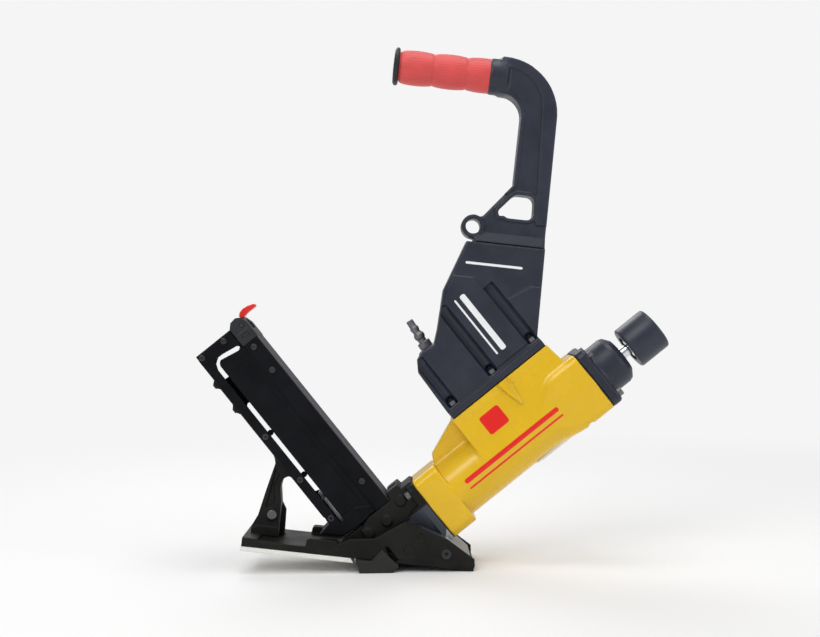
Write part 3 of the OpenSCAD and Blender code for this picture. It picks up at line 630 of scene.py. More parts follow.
def nose_field(x, y, z):
    u, v, side = (x + z) * HALF, (z - x) * HALF, np.abs(y)
    rho = np.hypot(y, v)
    f = prism(box2(v, y, 36.5, 33, 10), u, 71, 79, 1.2)
    wide = 22 + 11 * ramp(u + 0.25 * v, 52, 74)
    flare = both(outline(u, v, [(46, 14), (72, 14), (79, 34), (79, -34), (71, -36), (48, -34),
            (30, -20)]), side - wide, 3)
    f = join(f, flare, 2)
    core = [(-2, 34), (56, 34), (56, 30), (71, 30), (71, -30), (20, -60), (-40, -60), (-40, 36)]
    f = join(f, prism(outline(u, v, core), y, -20, 20, 1.5), 2)
    black = [(10, 10), (6, 30), (20, 36), (50.5, 36), (52, 44.5), (66, 44.5), (67, 38.5), (79, 38.5),
            (79, 14), (52, 9)]
    f = join(f, prism(outline(u, v, black), y, -25, 25, 1.5), 1.5)
    top = [(36, 5), (100.5, 5), (100.5, 12), (74, 30.5), (46, 38), (30, 34)]
    f = join(f, prism(outline(x, z, top), y, -35.8, 35.8, 1.2), 2)
    f = np.maximum(f, 7.05 - z)
    for a, b in ((59.1, 28.8), (34.5, 21.5), (11.2, 22.9)):
        f = join(f, prism(np.hypot(u - a, v - b) - 5.4, y, -26.6, 26.6, 0.8), 2.0)
    f = cut(f, prism(box2(u - 10, y, 53, 6, 0.5), v, MAG_LOW - 0.4, 80))
    f = cut(f, prism(box2(u + 10, y, 60.6, 30, 0.5), v, MAG_LOW + 0.1, 90))
    f = cut(f, box2(v, y, 2.2, 7.6, 0.3))
    f = cut(f, prism(box2(v - 3.1, y, 2.1, 10.8, 0.3), u, 13, 65))
    f = cut(f, prism(rho - 7, u, 50, 90))
    return f


CHEEK_LINE = [(-39, 5), (-39, 12), (-28, 19), (-2, 22.5), (28.7, 43.7), (74.9, 29.2), (TOE, 12), (TOE, 5)]


def shoe_field(x, y, z):
    side = np.abs(y)
    plate = [(-HEEL, 0), (-HEEL, 9.5), (-HEEL + 17, 9.5), (-HEEL + 18, 7), (TOE, 7), (TOE, 0)]
    f = prism(outline(x, z, plate), y, -SHOE_HALF, SHOE_HALF, 1.0)
    cheek = both(outline(x, z, CHEEK_LINE), np.abs(side - (SHOE_HALF - CHEEK / 2)) - CHEEK / 2, 1.3)
    f = join(f, cheek, 3)
    step = [(-71.5, 4), (-71, 14.2), (-68.6, 15.6), (-40, 15.6), (-36, 5)]
    f = join(f, both(outline(x, z, step), np.abs(side - 35) - 7, 1.3), 2.5)
    lug = [(-127, 5), (-99, 5), (-100, 34), (-105, 42), (-118, 42), (-124, 30)]
    f = join(f, prism(outline(x, z, lug), y, 10.2, 16, 1.2), 3)
    f = join(f, both(np.hypot(x - 74.2, z - 15) - 6.6, np.abs(side - 37) - 5.6, 0.6), 1.2)
    f = cut(f, both(np.hypot(x - 36, z - 14) - 6.4, 41.2 - side, 0.2), 0.6)
    f = cut(f, both(np.hypot(x - 46, z - 29) - 3.4, 41.3 - side, 0.2), 0.6)
    f = cut(f, both(outline(x, z, [(10.3, 15.2), (13.6, 15.6), (25.6, 3.2), (21.2, 0.6), (16, 4)]),
            30 - side, 0.6), 0.8)
    f = cut(f, both(np.hypot(x - 1.5, y) - 10, z - 9))
    f = cut(f, both(np.hypot(x + 112.6, z - 30.5) - 3.2, 5 - y))
    return f


def lip_field(x, y, z):
    side = np.abs(y)
    floor = -(TOE - x) * math.tan(LEAN)
    under = floor - z
    foot = [(-19, 0), (-13.5, -14.4), (22, -10.1), (26, 0)]
    f = prism(outline(x, z, foot), y, -41.5, 41.5, 0.8)
    face = [(-13, -14.4), (21.5, -10.1), (27, -3), (7.3, 13)]
    ridge = 1.1 + 2.6 * ramp(-outline(x, z, face), 0, 7)
    f = join(f, both(outline(x, z, face), np.abs(side - 43.3) - 1.0 * np.minimum(ridge / 1.6, 1), 0.3),
            0.6)
    base = both(outline(x, z, [(-13, -14.4), (21.5, -10.1), (24, -1), (-17, -1)]),
            np.abs(side - 41) - 3.2, 0.5)
    f = join(f, base, 1)
    f = cut(f, np.hypot(x - 1.5, y) - 10)
    for cx in (-6, 18):
        f = cut(f, both(np.hypot(x - cx, side - 30) - 4.6, z + 4))
    return np.maximum(f, under)


LEAN = -math.atan2(X_AXIS[2], X_AXIS[0])


def pad_field(x, y, z):
    rim = outline(x, z, [(-HEEL - 1, -5), (-HEEL - 1, 0), (-24, 0), (-20.4, -5)])
    f = prism(rim, y, -SHOE_HALF, SHOE_HALF, 0.8)
    for cx in (-126, -52):
        f = cut(f, both(np.hypot(x - cx, np.abs(y) - 30) - 4.4, z + 2.4))
    for cx in (-100, -84, -68):
        f = cut(f, both(np.abs(x - cx) - 0.8, z + 4.4, 0.2))
    return f


class NAILER_OT_nose(bpy.types.Operator):
    """Nose casting between the barrel and the shoe"""
    bl_idname = "nailer.nose"
    bl_label = "Nose Casting"

    def execute(self, context):
        mesh = solid("nose_casting_shell", nose_field, (-36, -39, 5), (104, 39, 92),
                settings().casting_grid, TOOL)
        piece(mesh, "nose_casting")
        return {"FINISHED"}


class NAILER_OT_shoe(bpy.types.Operator):
    """Shoe with its cheeks, the lip foot under it, and the sole pad"""
    bl_idname = "nailer.shoe"
    bl_label = "Shoe, Lip Foot and Sole"

    def execute(self, context):
        grid = settings().casting_grid
        piece(solid("shoe_shell", shoe_field, (-140, -45, -2), (106, 45, 46), grid, TOOL), "base_shoe")
        piece(solid("lip_foot_shell", lip_field, (-21, -46, -17), (29, 46, 15), settings().fine_grid,
                TOOL), "lip_foot")
        piece(solid("sole_pad_shell", pad_field, (-141, -44, -7), (-18, 44, 2), grid, TOOL), "sole_pad")
        return {"FINISHED"}


COVER_LINE = [(U_LOW, 56), (-29, 54), (-12, 37.5), (2, MAG_LOW), (U_HIGH, MAG_LOW), (U_HIGH, LATCH_V),
              (RAIL_U, LATCH_V), (RAIL_U, MAG_TOP), (U_LOW, MAG_TOP)]
CAVITY_LINE = [(U_LOW + MAG_WALL, MAG_LOW + 8), (2, 20), (U_HIGH - MAG_WALL, 20),
        (U_HIGH - MAG_WALL, LATCH_V - MAG_WALL),
               (RAIL_U - MAG_WALL, LATCH_V - MAG_WALL), (RAIL_U - MAG_WALL, 292), (U_LOW + MAG_WALL, 292)]
SLOT_LINE = ([(SLOT_U - SLOT_HALF, 50), (SLOT_U - SLOT_HALF, 256)]
             + circle((SLOT_U + 9, 256), 9 + SLOT_HALF, 180, 108, 8) + [(26, 263), (28.3, 260.7),
                     (25, 258.4)]
             + circle((SLOT_U + 9, 256), 9 - SLOT_HALF, 108, 180, 8) + [(SLOT_U + SLOT_HALF, 50)])
MAG_SCREWS = [(18.8, 275.8), (-10, 275.8), (-10, 169.8), (-10, 111.6), (-10, 60)]
RAIL_SCREWS = [(40, 70), (40, 220), (40, 251)]


WINDOW_LOW = [(-11.7, 90), (-0.7, 86), (-0.7, 208), (-2.5, 210), (-9.9, 210), (-11.7, 208)]
WINDOW_HOOK = [(-11.7, 246), (-0.7, 246), (2, 256), (24, 256), (28.3, 260), (26, 266), (20, 269),
        (-3, 269), (-9, 265),
               (-11.7, 258)]


def cover_field(u, y, v):
    """Half cover; y runs out from the middle plane."""
    f = prism(outline(u, v, COVER_LINE), y, -1, MAG_HALF, 2.0)
    rail = [(RAIL_U + 1.2, MAG_LOW), (U_HIGH, MAG_LOW), (U_HIGH, LATCH_V), (RAIL_U + 1.2, LATCH_V)]
    f = join(f, prism(outline(u, v, rail), y, 10, MAG_HALF + 1.2, 1.0), 1.0)
    left = box2(u - U_LOW - 3.4, v - 168, 3.4, 108, 1.5)
    f = join(f, prism(left, y, 15, MAG_HALF + 0.5, 0.5), 1.0)
    for p in MAG_SCREWS:
        f = join(f, prism(np.hypot(u - p[0], v - p[1]) - 4.6, y, 15, MAG_HALF + 0.45, 0.4), 0.8)
    foot = outline(u, v, [(-31, 54), (-12, 35), (20, 35), (30, 44), (14, 54), (-6, 62), (-20, 60)])
    f = join(f, prism(np.maximum(foot, outline(u, v, COVER_LINE)), y, 10, MAG_HALF + 0.9, 0.9), 2.0)
    f = cut(f, prism(box2(u - 10.5, v - 150, 15, 96, 4), y, MAG_HALF - 0.5, 40, 0.3), 0.6)
    f = cut(f, np.maximum(outline(u, v, CAVITY_LINE), y - MAG_HALF + MAG_WALL))
    f = cut(f, np.maximum(outline(u, v, SLOT_LINE) - 0.1, -y + 5), 0.6)
    return np.maximum(f, -y)


def far_cover_field(u, y, v):
    """The far half has two windows behind the loading slot."""
    windows = np.minimum(outline(u, v, WINDOW_LOW), outline(u, v, WINDOW_HOOK))
    return cut(cover_field(u, y, v), np.maximum(windows, MAG_HALF - 8 - y), 0.4)


def latch_field(u, y, v):
    side = np.abs(y)
    shape = [(RAIL_U, LATCH_V), (U_HIGH + 0.6, LATCH_V), (U_HIGH + 0.6, 276), (48.5, 284), (43, 287),
            (36, 286), (RAIL_U, MAG_TOP)]
    f = prism(outline(u, v, shape), y, -MAG_HALF - 1.4, MAG_HALF + 1.4, 1.0)
    f = join(f, both(outline(u, v, [(34, 262), (47.5, 262), (47.5, 271), (34, 271)]),
            np.abs(side - 18) - 6, 1.2), 1.5)
    f = cut(f, both(box2(u - 41, v - 266.5, 4.4, 2.6, 1.2), 23.3 - side, 0.3), 0.5)
    f = cut(f, prism(outline(u, v, [(20, 261), (47, 261), (47, 268), (70, 268), (70, 300), (20, 300)]),
            y, -9, 9))
    return cut(f, np.hypot(u - LEVER[0], v - LEVER[1]) - PIN_BORE_R)


class NAILER_OT_magazine(bpy.types.Operator):
    """Magazine covers and the latch housing"""
    bl_idname = "nailer.magazine"
    bl_label = "Magazine"

    def execute(self, context):
        low, high = (-33, -2, 33), (53, 25, 283)
        far = solid("magazine_cover_far_shell", far_cover_field, low, high, settings().cover_grid, AXES)
        piece(far, "magazine_cover_far")
        flip = AXES * np.array(((1,), (-1,), (1,)))
        near = solid("magazine_cover_near_shell", cover_field, low, high, settings().cover_grid, flip)
        piece(near, "magazine_cover_near")
        latch = solid("latch_housing_shell", latch_field, (29, -26, 256), (53, 26, 291), 0.8, AXES)
        piece(latch, "latch_housing")
        return {"FINISHED"}


def lever_field(u, y, v):
    line = [(39.7, 279), (39.7, 272), (38, 263.5), (40, 263), (44.5, 272.7), (48.3, 276), (49.2, 283.2),
            (46.2, 285.4)]
    hub = np.hypot(u - LEVER[0], v - LEVER[1])
    return cut(prism(join(outline(u, v, line), hub - LEVER_R, 1.0), y, -5, 5, 0.8), hub - LEVER_BORE_R)


def tip_field(u, y, v):
    line = [(49.2, 283.2), (46.2, 285.4), (45.6, 287.6), (49, 290.4), (54, 291.4), (60, 290.6),
            (66, 288.4), (67, 286.6),
            (65.6, 284.8), (60, 284.9), (55, 284.8), (51.4, 284.2)]
    return prism(outline(u, v, line), y, -6.2, 6.2, 1.0)


class NAILER_OT_latch(bpy.types.Operator):
    """Nail stop lever and its red tip"""
    bl_idname = "nailer.latch"
    bl_label = "Nail Stop Lever"

    def execute(self, context):
        piece(solid("nail_stop_lever_shell", lever_field, (36, -7, 261), (57, 7, 293), 0.5, AXES),
                "nail_stop_lever")
        piece(solid("lever_tip_shell", tip_field, (44, -8, 281), (69, 8, 293), 0.4, AXES), "lever_tip")
        return {"FINISHED"}


STRUT_LINE = ([(-118, 96.3), (-115.2, 84.5), (-122, 55), (-127.7, 28), (-133, 16.8), (-133, 7.2),
        (-104.5, 7.2), (-104.5, 44),
               (-107, 60)] + circle((-97.6, 63.4), 9, 165, 60, 8) + [(-84, 64)])
PAD_LINE = [(U_LOW, 64), (-17.5, 64), (-17.5, 205), (-20, 209), (-20, 215), (-17.5, 218), (-17.5, 239),
        (-20, 242),
            (-20, 248), (U_LOW, 252)]


def strut_field(x, y, z):
    u, v, side = (x + z) * HALF, (z - x) * HALF, np.abs(y)
    web = prism(outline(x, z, STRUT_LINE), y, -9.6, 9.6, 1.2)
    dish = outline(x, z, [(-116, 88), (-120.5, 55), (-125, 30), (-108, 42), (-110.5, 60), (-106, 74)])
    web = cut(web, both(dish + 3.2, 8 - side, 0.4), 1.0)
    web = np.maximum(web, u - U_LOW)
    pad = prism(outline(u, v, PAD_LINE), y, -12, 12, 0.8)
    foot = prism(outline(x, z, [(-133, 7.2), (-133, 14), (-127, 17), (-106, 17), (-104.5, 14),
            (-104.5, 7.2)]), y, -10.1, 10.1, 0.9)
    f = join(join(web, pad, 2.5), foot, 2)
    f = join(f, prism(np.hypot(x + 112.6, z - 30.5) - 6.6, y, -10, 10, 0.8), 2)
    return cut(f, np.hypot(x + 112.6, z - 30.5) - 3.2)


class NAILER_OT_strut(bpy.types.Operator):
    """Strut that ties the magazine to the shoe"""
    bl_idname = "nailer.strut"
    bl_label = "Magazine Strut"

    def execute(self, context):
        mesh = solid("magazine_strut_shell", strut_field, (-196, -14, 6), (-55, 14, 170), 1.0, TOOL)
        piece(mesh, "magazine_strut")
        return {"FINISHED"}


GRIP_HI, GRIP_LO = GRIP_Z + 20, GRIP_Z - 18.5
ARM_LINE = ([(66, 330), (144, 330)] + circle((82.5, GRIP_HI - 60), 60, 0, 90,
        16) + [(GRIP_ROOT, GRIP_HI), (GRIP_ROOT, GRIP_LO)]
            + circle((81, GRIP_LO - 23.5), 23.5, 90, 0, 10) + [(104.5, 406), (75, 369)])
RIM_LINE = ([(131, 365), (200, 365), (200, 600), (GRIP_ROOT + 2, 600), (GRIP_ROOT + 2, 529)]
            + circle((84, 488), 41, 90, 8, 10))
WINDOW_LINE = (circle((103.5, 378), 8, 225, 270, 4) + circle((121, 377.5), 7.5, 270, 360, 6)
               + circle((120.5, 388), 7.5, 0, 90, 6) + circle((111, 386.5), 9, 90, 140, 4)
               + circle((97, 375.5), 5.5, 140, 225, 5))
HOUSING_LINE = [(86, 171.5), (155, 240.5), (145.4, 249), (143.8, CREASE_Z), (61, CREASE_Z), (42.2, 287),
        (40.4, 244),
                (38.8, 229.7), (27.9, 221), (22.6, 209.7), (25.1, 197), (59.3, 159.8), (67, 152.5)]


def housing_field(x, y, z):
    u, v, side = (x + z) * HALF, (z - x) * HALF, np.abs(y)
    shell = outline(x, z, HOUSING_LINE)
    face = HOUSING_HALF - 1.2
    f = prism(shell, y, -face, face, 2.6)
    label = np.maximum(outline(u, v, [(225.2, 74), (265.4, 74), (265.4, 190), (225.2, 190)]),
            np.maximum(shell + 3, z - 303))
    f = join(f, both(label, np.abs(side - 20) - 6.1, 0.9), 0.8)
    plateau = np.maximum(outline(x, z, [(101, 278), (133, 300), (160, 300), (160, 190), (101, 190)]),
            278.6 - u)
    plateau = np.maximum(plateau, 74 - v)
    f = join(f, both(np.maximum(plateau, shell + 2.4), np.abs(side - 20) - 6.1, 0.9), 0.8)
    f = join(f, prism(box2(u - 217.5, v - 65.2, 61.5, 4.0, 0.5), y, -27.4, 27.4, 1.0), 1.0)
    arm = outline(x, z, ARM_LINE)
    eye = np.hypot(x - EYE[0], z - EYE[1])
    neck = np.interp(z, (CREASE_Z - 2, CREASE_Z + 12), (19.5, 12.2))
    f = join(f, both(join(arm, eye - 12.3, 5), side - neck, 2.5), 2.0)
    f = join(f, both(np.maximum(arm, outline(x, z, RIM_LINE)), side - ARM_HALF, 2.2), 0.8)
    edge = both(np.abs(arm + 1.6) - 1.6, side - 13.3, 0.6)
    f = join(f, np.maximum(edge, np.maximum(395 - z, x - 112)), 0.8)
    f = join(f, both(np.abs(outline(x, z, WINDOW_LINE) - 2.0) - 2.0, side - 13.4, 0.8), 0.8)
    f = join(f, both(np.abs(eye - 10) - 2.3, side - ARM_HALF, 0.8), 0.8)
    root = np.hypot(y, z - GRIP_Z)
    f = join(f, prism(root - 19.2, x, 66, 86, 3.0), 6)
    f = join(f, prism(root - 11.9, x, GRIP_END - 4, GRIP_ROOT + 5))
    f = np.maximum(f, np.where(z > 330, -1e3, FLANGE_V + 1 - v))
    for at, top in zip(SCREW_U, GROOVE_TOP):
        groove = np.maximum(capsule((u, side, v), (at, face + 0.4, 66), (at, face + 0.4, top + 20), 6.0,
                6.0), v - top)
        well = capsule((u, side, v), (at, 20, 66), (at, 20, 78), 4.6, 4.6)
        f = cut(f, np.maximum(join(groove, well, 1), 72 - v), 1.0)
    f = cut(f, both(np.abs(z - CREASE_Z) - 0.7, 17 - side, 0.4), 1.2)
    f = cut(f, both(eye - 7.9, side - 30))
    f = cut(f, outline(x, z, WINDOW_LINE) - 0.2, 0.8)
    along = (x - INLET[0]) * math.sin(INLET_TURN) + (z - INLET[1]) * math.cos(INLET_TURN)
    off = (x - INLET[0]) * math.cos(INLET_TURN) - (z - INLET[1]) * math.sin(INLET_TURN)
    return join(f, prism(np.hypot(off, y) - 10.5, along, -22, -1.5, 1.2), 4)


class NAILER_OT_handle(bpy.types.Operator):
    """Air chamber, arm, hanging eye and window of the handle"""
    bl_idname = "nailer.handle"
    bl_label = "Handle Housing"

    def execute(self, context):
        mesh = solid("handle_housing_shell", housing_field, (-37, -30, 146), (158, 30, 543),
                settings().housing_grid, TOOL)
        piece(mesh, "handle_housing")
        return {"FINISHED"}


class NAILER_OT_grip(bpy.types.Operator):
    """Rubber grip with its three bulges, and the cap on its end"""
    bl_idname = "nailer.grip"
    bl_label = "Grip"

    def execute(self, context):
        start = row((GRIP_END, 0, GRIP_Z))
        profile = [(12.1, 0.2), (15.6, 0.2)]
        for i in range(97):
            t = i / 96
            swell = abs(math.sin(math.pi * 3 * t)) ** 0.55
            r = 16.4 + 2.1 * swell
            r *= 1 - 0.06 * (1 - min(1, t * 22)) ** 2 - 0.05 * (1 - min(1, (1 - t) * 22)) ** 2
            profile.append((r, 0.6 + 107.6 * t))
        profile += [(15.8, 108.6), (12.1, 108.6), (12.1, 0.2)]
        grip = turned("grip_rubber", profile, start, X_AXIS, sides=144, smooth=50)
        points = np.empty(len(grip.vertices) * 3)
        grip.vertices.foreach_get("co", points)
        points = points.reshape(-1, 3)
        local = (points - start) @ TOOL.T / MM
        along, ring = local[:, 0], local[:, 1:]
        radius = np.linalg.norm(ring, axis=1)
        angle = np.arctan2(ring[:, 1], ring[:, 0])
        phase = np.abs((along / 107.6 * 3) % 1 - 0.5)
        groove = 0.28 * ramp(0.5 - phase, 0.1, 0.2) * (0.5 + 0.5 * np.cos(angle * 36))
        scale = np.where(radius > 13, (radius - groove) / radius, 1)
        local[:, 1:] *= scale[:, None]
        grip.vertices.foreach_set("co", (start + local @ TOOL * MM).ravel())
        piece(grip, "grip_sleeve")
        end = [(0, 0.6), (6, 0.2), (13.5, 0), (17.4, 0.2), (19, 1.0), (20, 2.2), (20, 3.9), (19.4, 5),
                (18.2, 5.6),
               (8, 5.8), (7.9, 5.8), (7.9, 17.5), (7.4, 18), (0, 18)]
        cap = turned("grip_end_cap_turned", end, row((GRIP_END - 6, 0, GRIP_Z)), X_AXIS, sides=96)
        piece(cap, "grip_end_cap")
        return {"FINISHED"}


class NAILER_OT_air(bpy.types.Operator):
    """Air plug and the exhaust deflector"""
    bl_idname = "nailer.air"
    bl_label = "Air Plug and Deflector"

    def execute(self, context):
        turn = math.sin(INLET_TURN) * X_AXIS + math.cos(INLET_TURN) * Z_AXIS
        base = row((INLET[0], 0, INLET[1]))
        profile = [(2.6, -15.8), (6.2, -15.8), (6.2, 0), (7.2, 0.3), (7.2, 6.2), (6.6, 7), (4.6, 7.2),
                (4.6, 10.6), (5.4, 11.8),
                   (5.9, 12.8), (5.9, 15.6), (5.3, 16.8), (4.3, 18.4), (4.05, 19.6), (4.2, 21), (4.8,
                   22.4), (4.9, 24.2),
                   (4.4, 25.4), (3.95, 26.2), (3.95, 33.2), (3.4, 33.95), (2.6, 33.95), (2.6, -15.8)]
        piece(turned("air_plug_turned", profile, base, turn, sides=64), "air_plug")
        mesh = solid("exhaust_deflector_shell", deflector_field, (194, -16, -39), (252, 16, -26), 0.6,
                AXES)
        piece(mesh, "exhaust_deflector")
        return {"FINISHED"}


def deflector_field(u, y, v):
    rho = np.hypot(y, v)
    f = both(np.abs(rho - 33.75) - 0.75, box2(u - 223, y, 26, 13, 3), 0.4)
    f = np.maximum(f, v)
    for k in range(5):
        f = cut(f, both(box2(u - 203 - 10 * k, y, 2.8, 9, 1.5), 33.9 - rho, 0.2), 0.3)
    return f


# ---------- fasteners, set by one node tree ----------

def fastener_tree():
    """Sets an object on each point, along its axis attribute and scaled by its size attribute."""
    tree = bpy.data.node_groups.new("Set Fasteners", "GeometryNodeTree")
    face = tree.interface
    face.new_socket("Geometry", in_out="INPUT", socket_type="NodeSocketGeometry")
    face.new_socket("Fastener", in_out="INPUT", socket_type="NodeSocketObject")
    face.new_socket("Scale", in_out="INPUT", socket_type="NodeSocketFloat")
    face.new_socket("Finish", in_out="INPUT", socket_type="NodeSocketMaterial")
    face.new_socket("Geometry", in_out="OUTPUT", socket_type="NodeSocketGeometry")
    n = tree.nodes.new
    start, end = n("NodeGroupInput"), n("NodeGroupOutput")
    info, place = n("GeometryNodeObjectInfo"), n("GeometryNodeInstanceOnPoints")
    axis, size = n("GeometryNodeInputNamedAttribute"), n("GeometryNodeInputNamedAttribute")
    axis.data_type, size.data_type = "FLOAT_VECTOR", "FLOAT"
    axis.inputs["Name"].default_value, size.inputs["Name"].default_value = "axis", "size"
    turn, times = n("FunctionNodeAlignRotationToVector"), n("ShaderNodeMath")
    turn.axis, times.operation = "Z", "MULTIPLY"
    real, paint = n("GeometryNodeRealizeInstances"), n("GeometryNodeSetMaterial")
    link = tree.links.new
    link(start.outputs["Geometry"], place.inputs["Points"])
    link(start.outputs["Fastener"], info.inputs["Object"])
    link(info.outputs["Geometry"], place.inputs["Instance"])
    link(axis.outputs["Attribute"], turn.inputs["Vector"])
    link(turn.outputs["Rotation"], place.inputs["Rotation"])
    link(size.outputs["Attribute"], times.inputs[0])
    link(start.outputs["Scale"], times.inputs[1])
    link(times.outputs[0], place.inputs["Scale"])
    link(place.outputs["Instances"], real.inputs["Geometry"])
    link(real.outputs["Geometry"], paint.inputs["Geometry"])
    link(start.outputs["Finish"], paint.inputs["Material"])
    link(paint.outputs["Geometry"], end.inputs["Geometry"])
    return tree


def set_fasteners(name, tree, fastener, spots, *nodes):
    """spots is a list of (place in metres, axis, size in millimetres)."""
    cloud = bpy.data.meshes.new(name + "_spots")
    cloud.from_pydata([tuple(s[0]) for s in spots], [], [])
    cloud.attributes.new("axis", "FLOAT_VECTOR", "POINT").data.foreach_set(
        "vector", np.array([s[1] for s in spots], float).ravel())
    cloud.attributes.new("size", "FLOAT", "POINT").data.foreach_set("value", [s[2] * MM for s in spots])
    holder = bpy.data.objects.new(name + "_spots", cloud)
    bpy.context.scene.collection.objects.link(holder)
    mod = holder.modifiers.new("Fasteners", "NODES")
    mod.node_group = tree
    values = {"Fastener": fastener, "Scale": 1.0, "Finish": FINISHES[SLOT_OF[nodes[0]]]}
    for item in tree.interface.items_tree:
        if item.in_out == "INPUT" and item.name in values:
            mod[item.identifier] = values[item.name]
    graph = bpy.context.evaluated_depsgraph_get()
    mesh = bpy.data.meshes.new_from_object(holder.evaluated_get(graph))
    mesh.name = name
    bpy.data.objects.remove(holder)
    return piece(mesh, *nodes)


def in_uv(points, y, axis, size):
    return [(row((u, y, v), AXES), axis, size) for u, v in points]


class NAILER_OT_fasteners(bpy.types.Operator):
    """Every socket screw, nut and countersunk screw that shows"""
    bl_idname = "nailer.fasteners"
    bl_label = "Fasteners"

    def execute(self, context):
        tree = fastener_tree()
        tall = bpy.data.objects.new("tall_screw", screw_mesh("tall_screw", 1.05))
        flat = bpy.data.objects.new("button_screw", screw_mesh("button_screw", 0.5, 0.5, 0.34))
        near, far, up = -ACROSS, ACROSS, UP_DRIVE
        signs = [(a, b) for a in (-1, 1) for b in (-1, 1)]
        set_fasteners("head_bolt_heads", tree, tall, [
            (drive_point(CAP_U + 11, b * HEAD_PITCH[1], a * HEAD_PITCH[0]), up,
            4.9) for a, b in signs], "head_bolts")
        set_fasteners("nose_bolt_heads", tree, tall, [
            (drive_point(NOSE_U - 9, b * NOSE_PITCH[1], a * NOSE_PITCH[0]), -up,
            4.9) for a, b in signs], "nose_bolts")
        cheek = [(row((74.2, s * SHOE_HALF, 15)), s * ACROSS, 4.95) for s in (-1, 1)]
        set_fasteners("cheek_bolt_heads", tree, flat, cheek, "cheek_bolts")
        spots = []
        for s in (-1, 1):
            spots += in_uv(MAG_SCREWS, s * (MAG_HALF + 0.35), s * ACROSS, 3.3)
            spots += in_uv(RAIL_SCREWS, s * (MAG_HALF + 1.2), s * ACROSS, 3.3)
        set_fasteners("magazine_screw_heads", tree, flat, spots, "magazine_screws")
        spots = [(row((-20, y, v), AXES), -UP_DRIVE, 2.97) for v in (212, 245) for y in (-7, 7)]
        set_fasteners("strut_screw_heads", tree, flat, spots, "strut_screws")
        spots = [(row((u, s * 20, 72.2), AXES), UP_MAG, 4.1) for u in SCREW_U for s in (-1, 1)]
        set_fasteners("housing_screw_heads", tree, tall, spots, "housing_screws")
        spots = [(row((x, y, -4)), -Z_AXIS, 4.1) for x in (-6, 18) for y in (-30, 30)]
        set_fasteners("lip_screw_heads", tree, tall, spots, "lip_screws")
        spots = [(row((x, y, -3.0)), -Z_AXIS, 4.1) for x in (-126, -52) for y in (-30, 30)]
        set_fasteners("sole_screw_heads", tree, flat, spots, "sole_screws")
        set_fasteners("strut_bolt_head", tree, flat, [(row((-112.6, -10, 30.5)), near, 5.0)],
                "strut_bolt")
        set_fasteners("strut_nut_end", tree, flat, [(row((-112.6, 16, 30.5)), far, 5.4)], "strut_nut")
        return {"FINISHED"}


class NAILER_OT_cad(bpy.types.Operator):
    """Gives the CAD pieces that stay in view their finishes"""
    bl_idname = "nailer.cad_finishes"
    bl_label = "CAD Finishes"

    def execute(self, context):
        for name, obj in frame["nodes"].items():
            obj.data.materials.clear()
            obj.data.materials.append(FINISHES[SLOT_OF[name]])
        return {"FINISHED"}


class NAILER_OT_stage(bpy.types.Operator):
    """Pale floor, soft lights and the camera"""
    bl_idname = "nailer.stage"
    bl_label = "Stage"

    def execute(self, context):
        stage = context.scene.nailer_stage
        scene = context.scene
        bm = bmesh.new()
        bmesh.ops.create_grid(bm, x_segments=1, y_segments=1, size=6)
        mesh = bpy.data.meshes.new("floor")
        bm.to_mesh(mesh)
        bm.free()
        floor = bpy.data.objects.new("floor", mesh)
        scene.collection.objects.link(floor)
        mat = bpy.data.materials.new("floor_paint")
        mat.use_nodes = True
        shader = mat.node_tree.nodes["Principled BSDF"]
        shader.inputs["Base Color"].default_value = (*stage.floor_colour, 1)
        shader.inputs["Roughness"].default_value = 0.9
        shader.inputs["Specular IOR Level"].default_value = 0.1
        tree = mat.node_tree
        place = tree.nodes.new("ShaderNodeTexCoord").outputs["Object"]
        reach = node(tree, "ShaderNodeVectorMath", Vector=place)
        reach.operation = "LENGTH"
        glow = node(tree, "ShaderNodeEmission", Color=(*stage.backdrop_colour, 1), Strength=1.0)
        fade = node(tree, "ShaderNodeMixShader", Fac=steps(tree, reach.outputs["Value"], 0.45, 1.5))
        tree.links.new(shader.outputs[0], fade.inputs[1])
        tree.links.new(glow.outputs[0], fade.inputs[2])
        tree.links.new(fade.outputs[0], tree.nodes["Material Output"].inputs["Surface"])
        mesh.materials.append(mat)
        world = scene.world or bpy.data.worlds.new("studio")
        scene.world = world
        world.use_nodes = True
        sky = world.node_tree.nodes["Background"]
        sky.inputs["Color"].default_value = (*stage.backdrop_colour, 1)
        seen = node(world.node_tree, "ShaderNodeLightPath").outputs["Is Camera Ray"]
        world.node_tree.links.new(steps(world.node_tree, seen, 0.0, 1.0, stage.sky, 1.0),
                sky.inputs["Strength"])
        aim = Vector((0.01, 0, 0.27))
        for name, at, size, watts in (("key", (-0.9, -1.5, 1.7), 1.1, 16),
                ("side", (1.6, -0.8, 0.9), 0.9, 5),
                                      ("rim", (-0.6, 1.5, 1.5), 1.2, 14), ("top", (0.2, -0.2, 2.2), 1.2,
                                      16)):
            data = bpy.data.lights.new(name, "AREA")
            data.size, data.energy = size, watts * stage.light
            lamp = bpy.data.objects.new(name, data)
            lamp.location = at
            lamp.rotation_euler = (aim - Vector(at)).to_track_quat("-Z", "Y").to_euler()
            scene.collection.objects.link(lamp)
        data = bpy.data.cameras.new("camera")
        data.sensor_width, data.lens = 36, stage.lens
        camera = bpy.data.objects.new("camera", data)
        scene.collection.objects.link(camera)
        centre = row((10.4, 0, 253.0))
        camera.location = (centre[0], -stage.distance, centre[2])
        camera.rotation_euler = (math.radians(90), math.radians(stage.roll), 0)
        scene.camera = camera
        scene.view_settings.view_transform = "Standard"
        return {"FINISHED"}


# ---------- settings and panel ----------

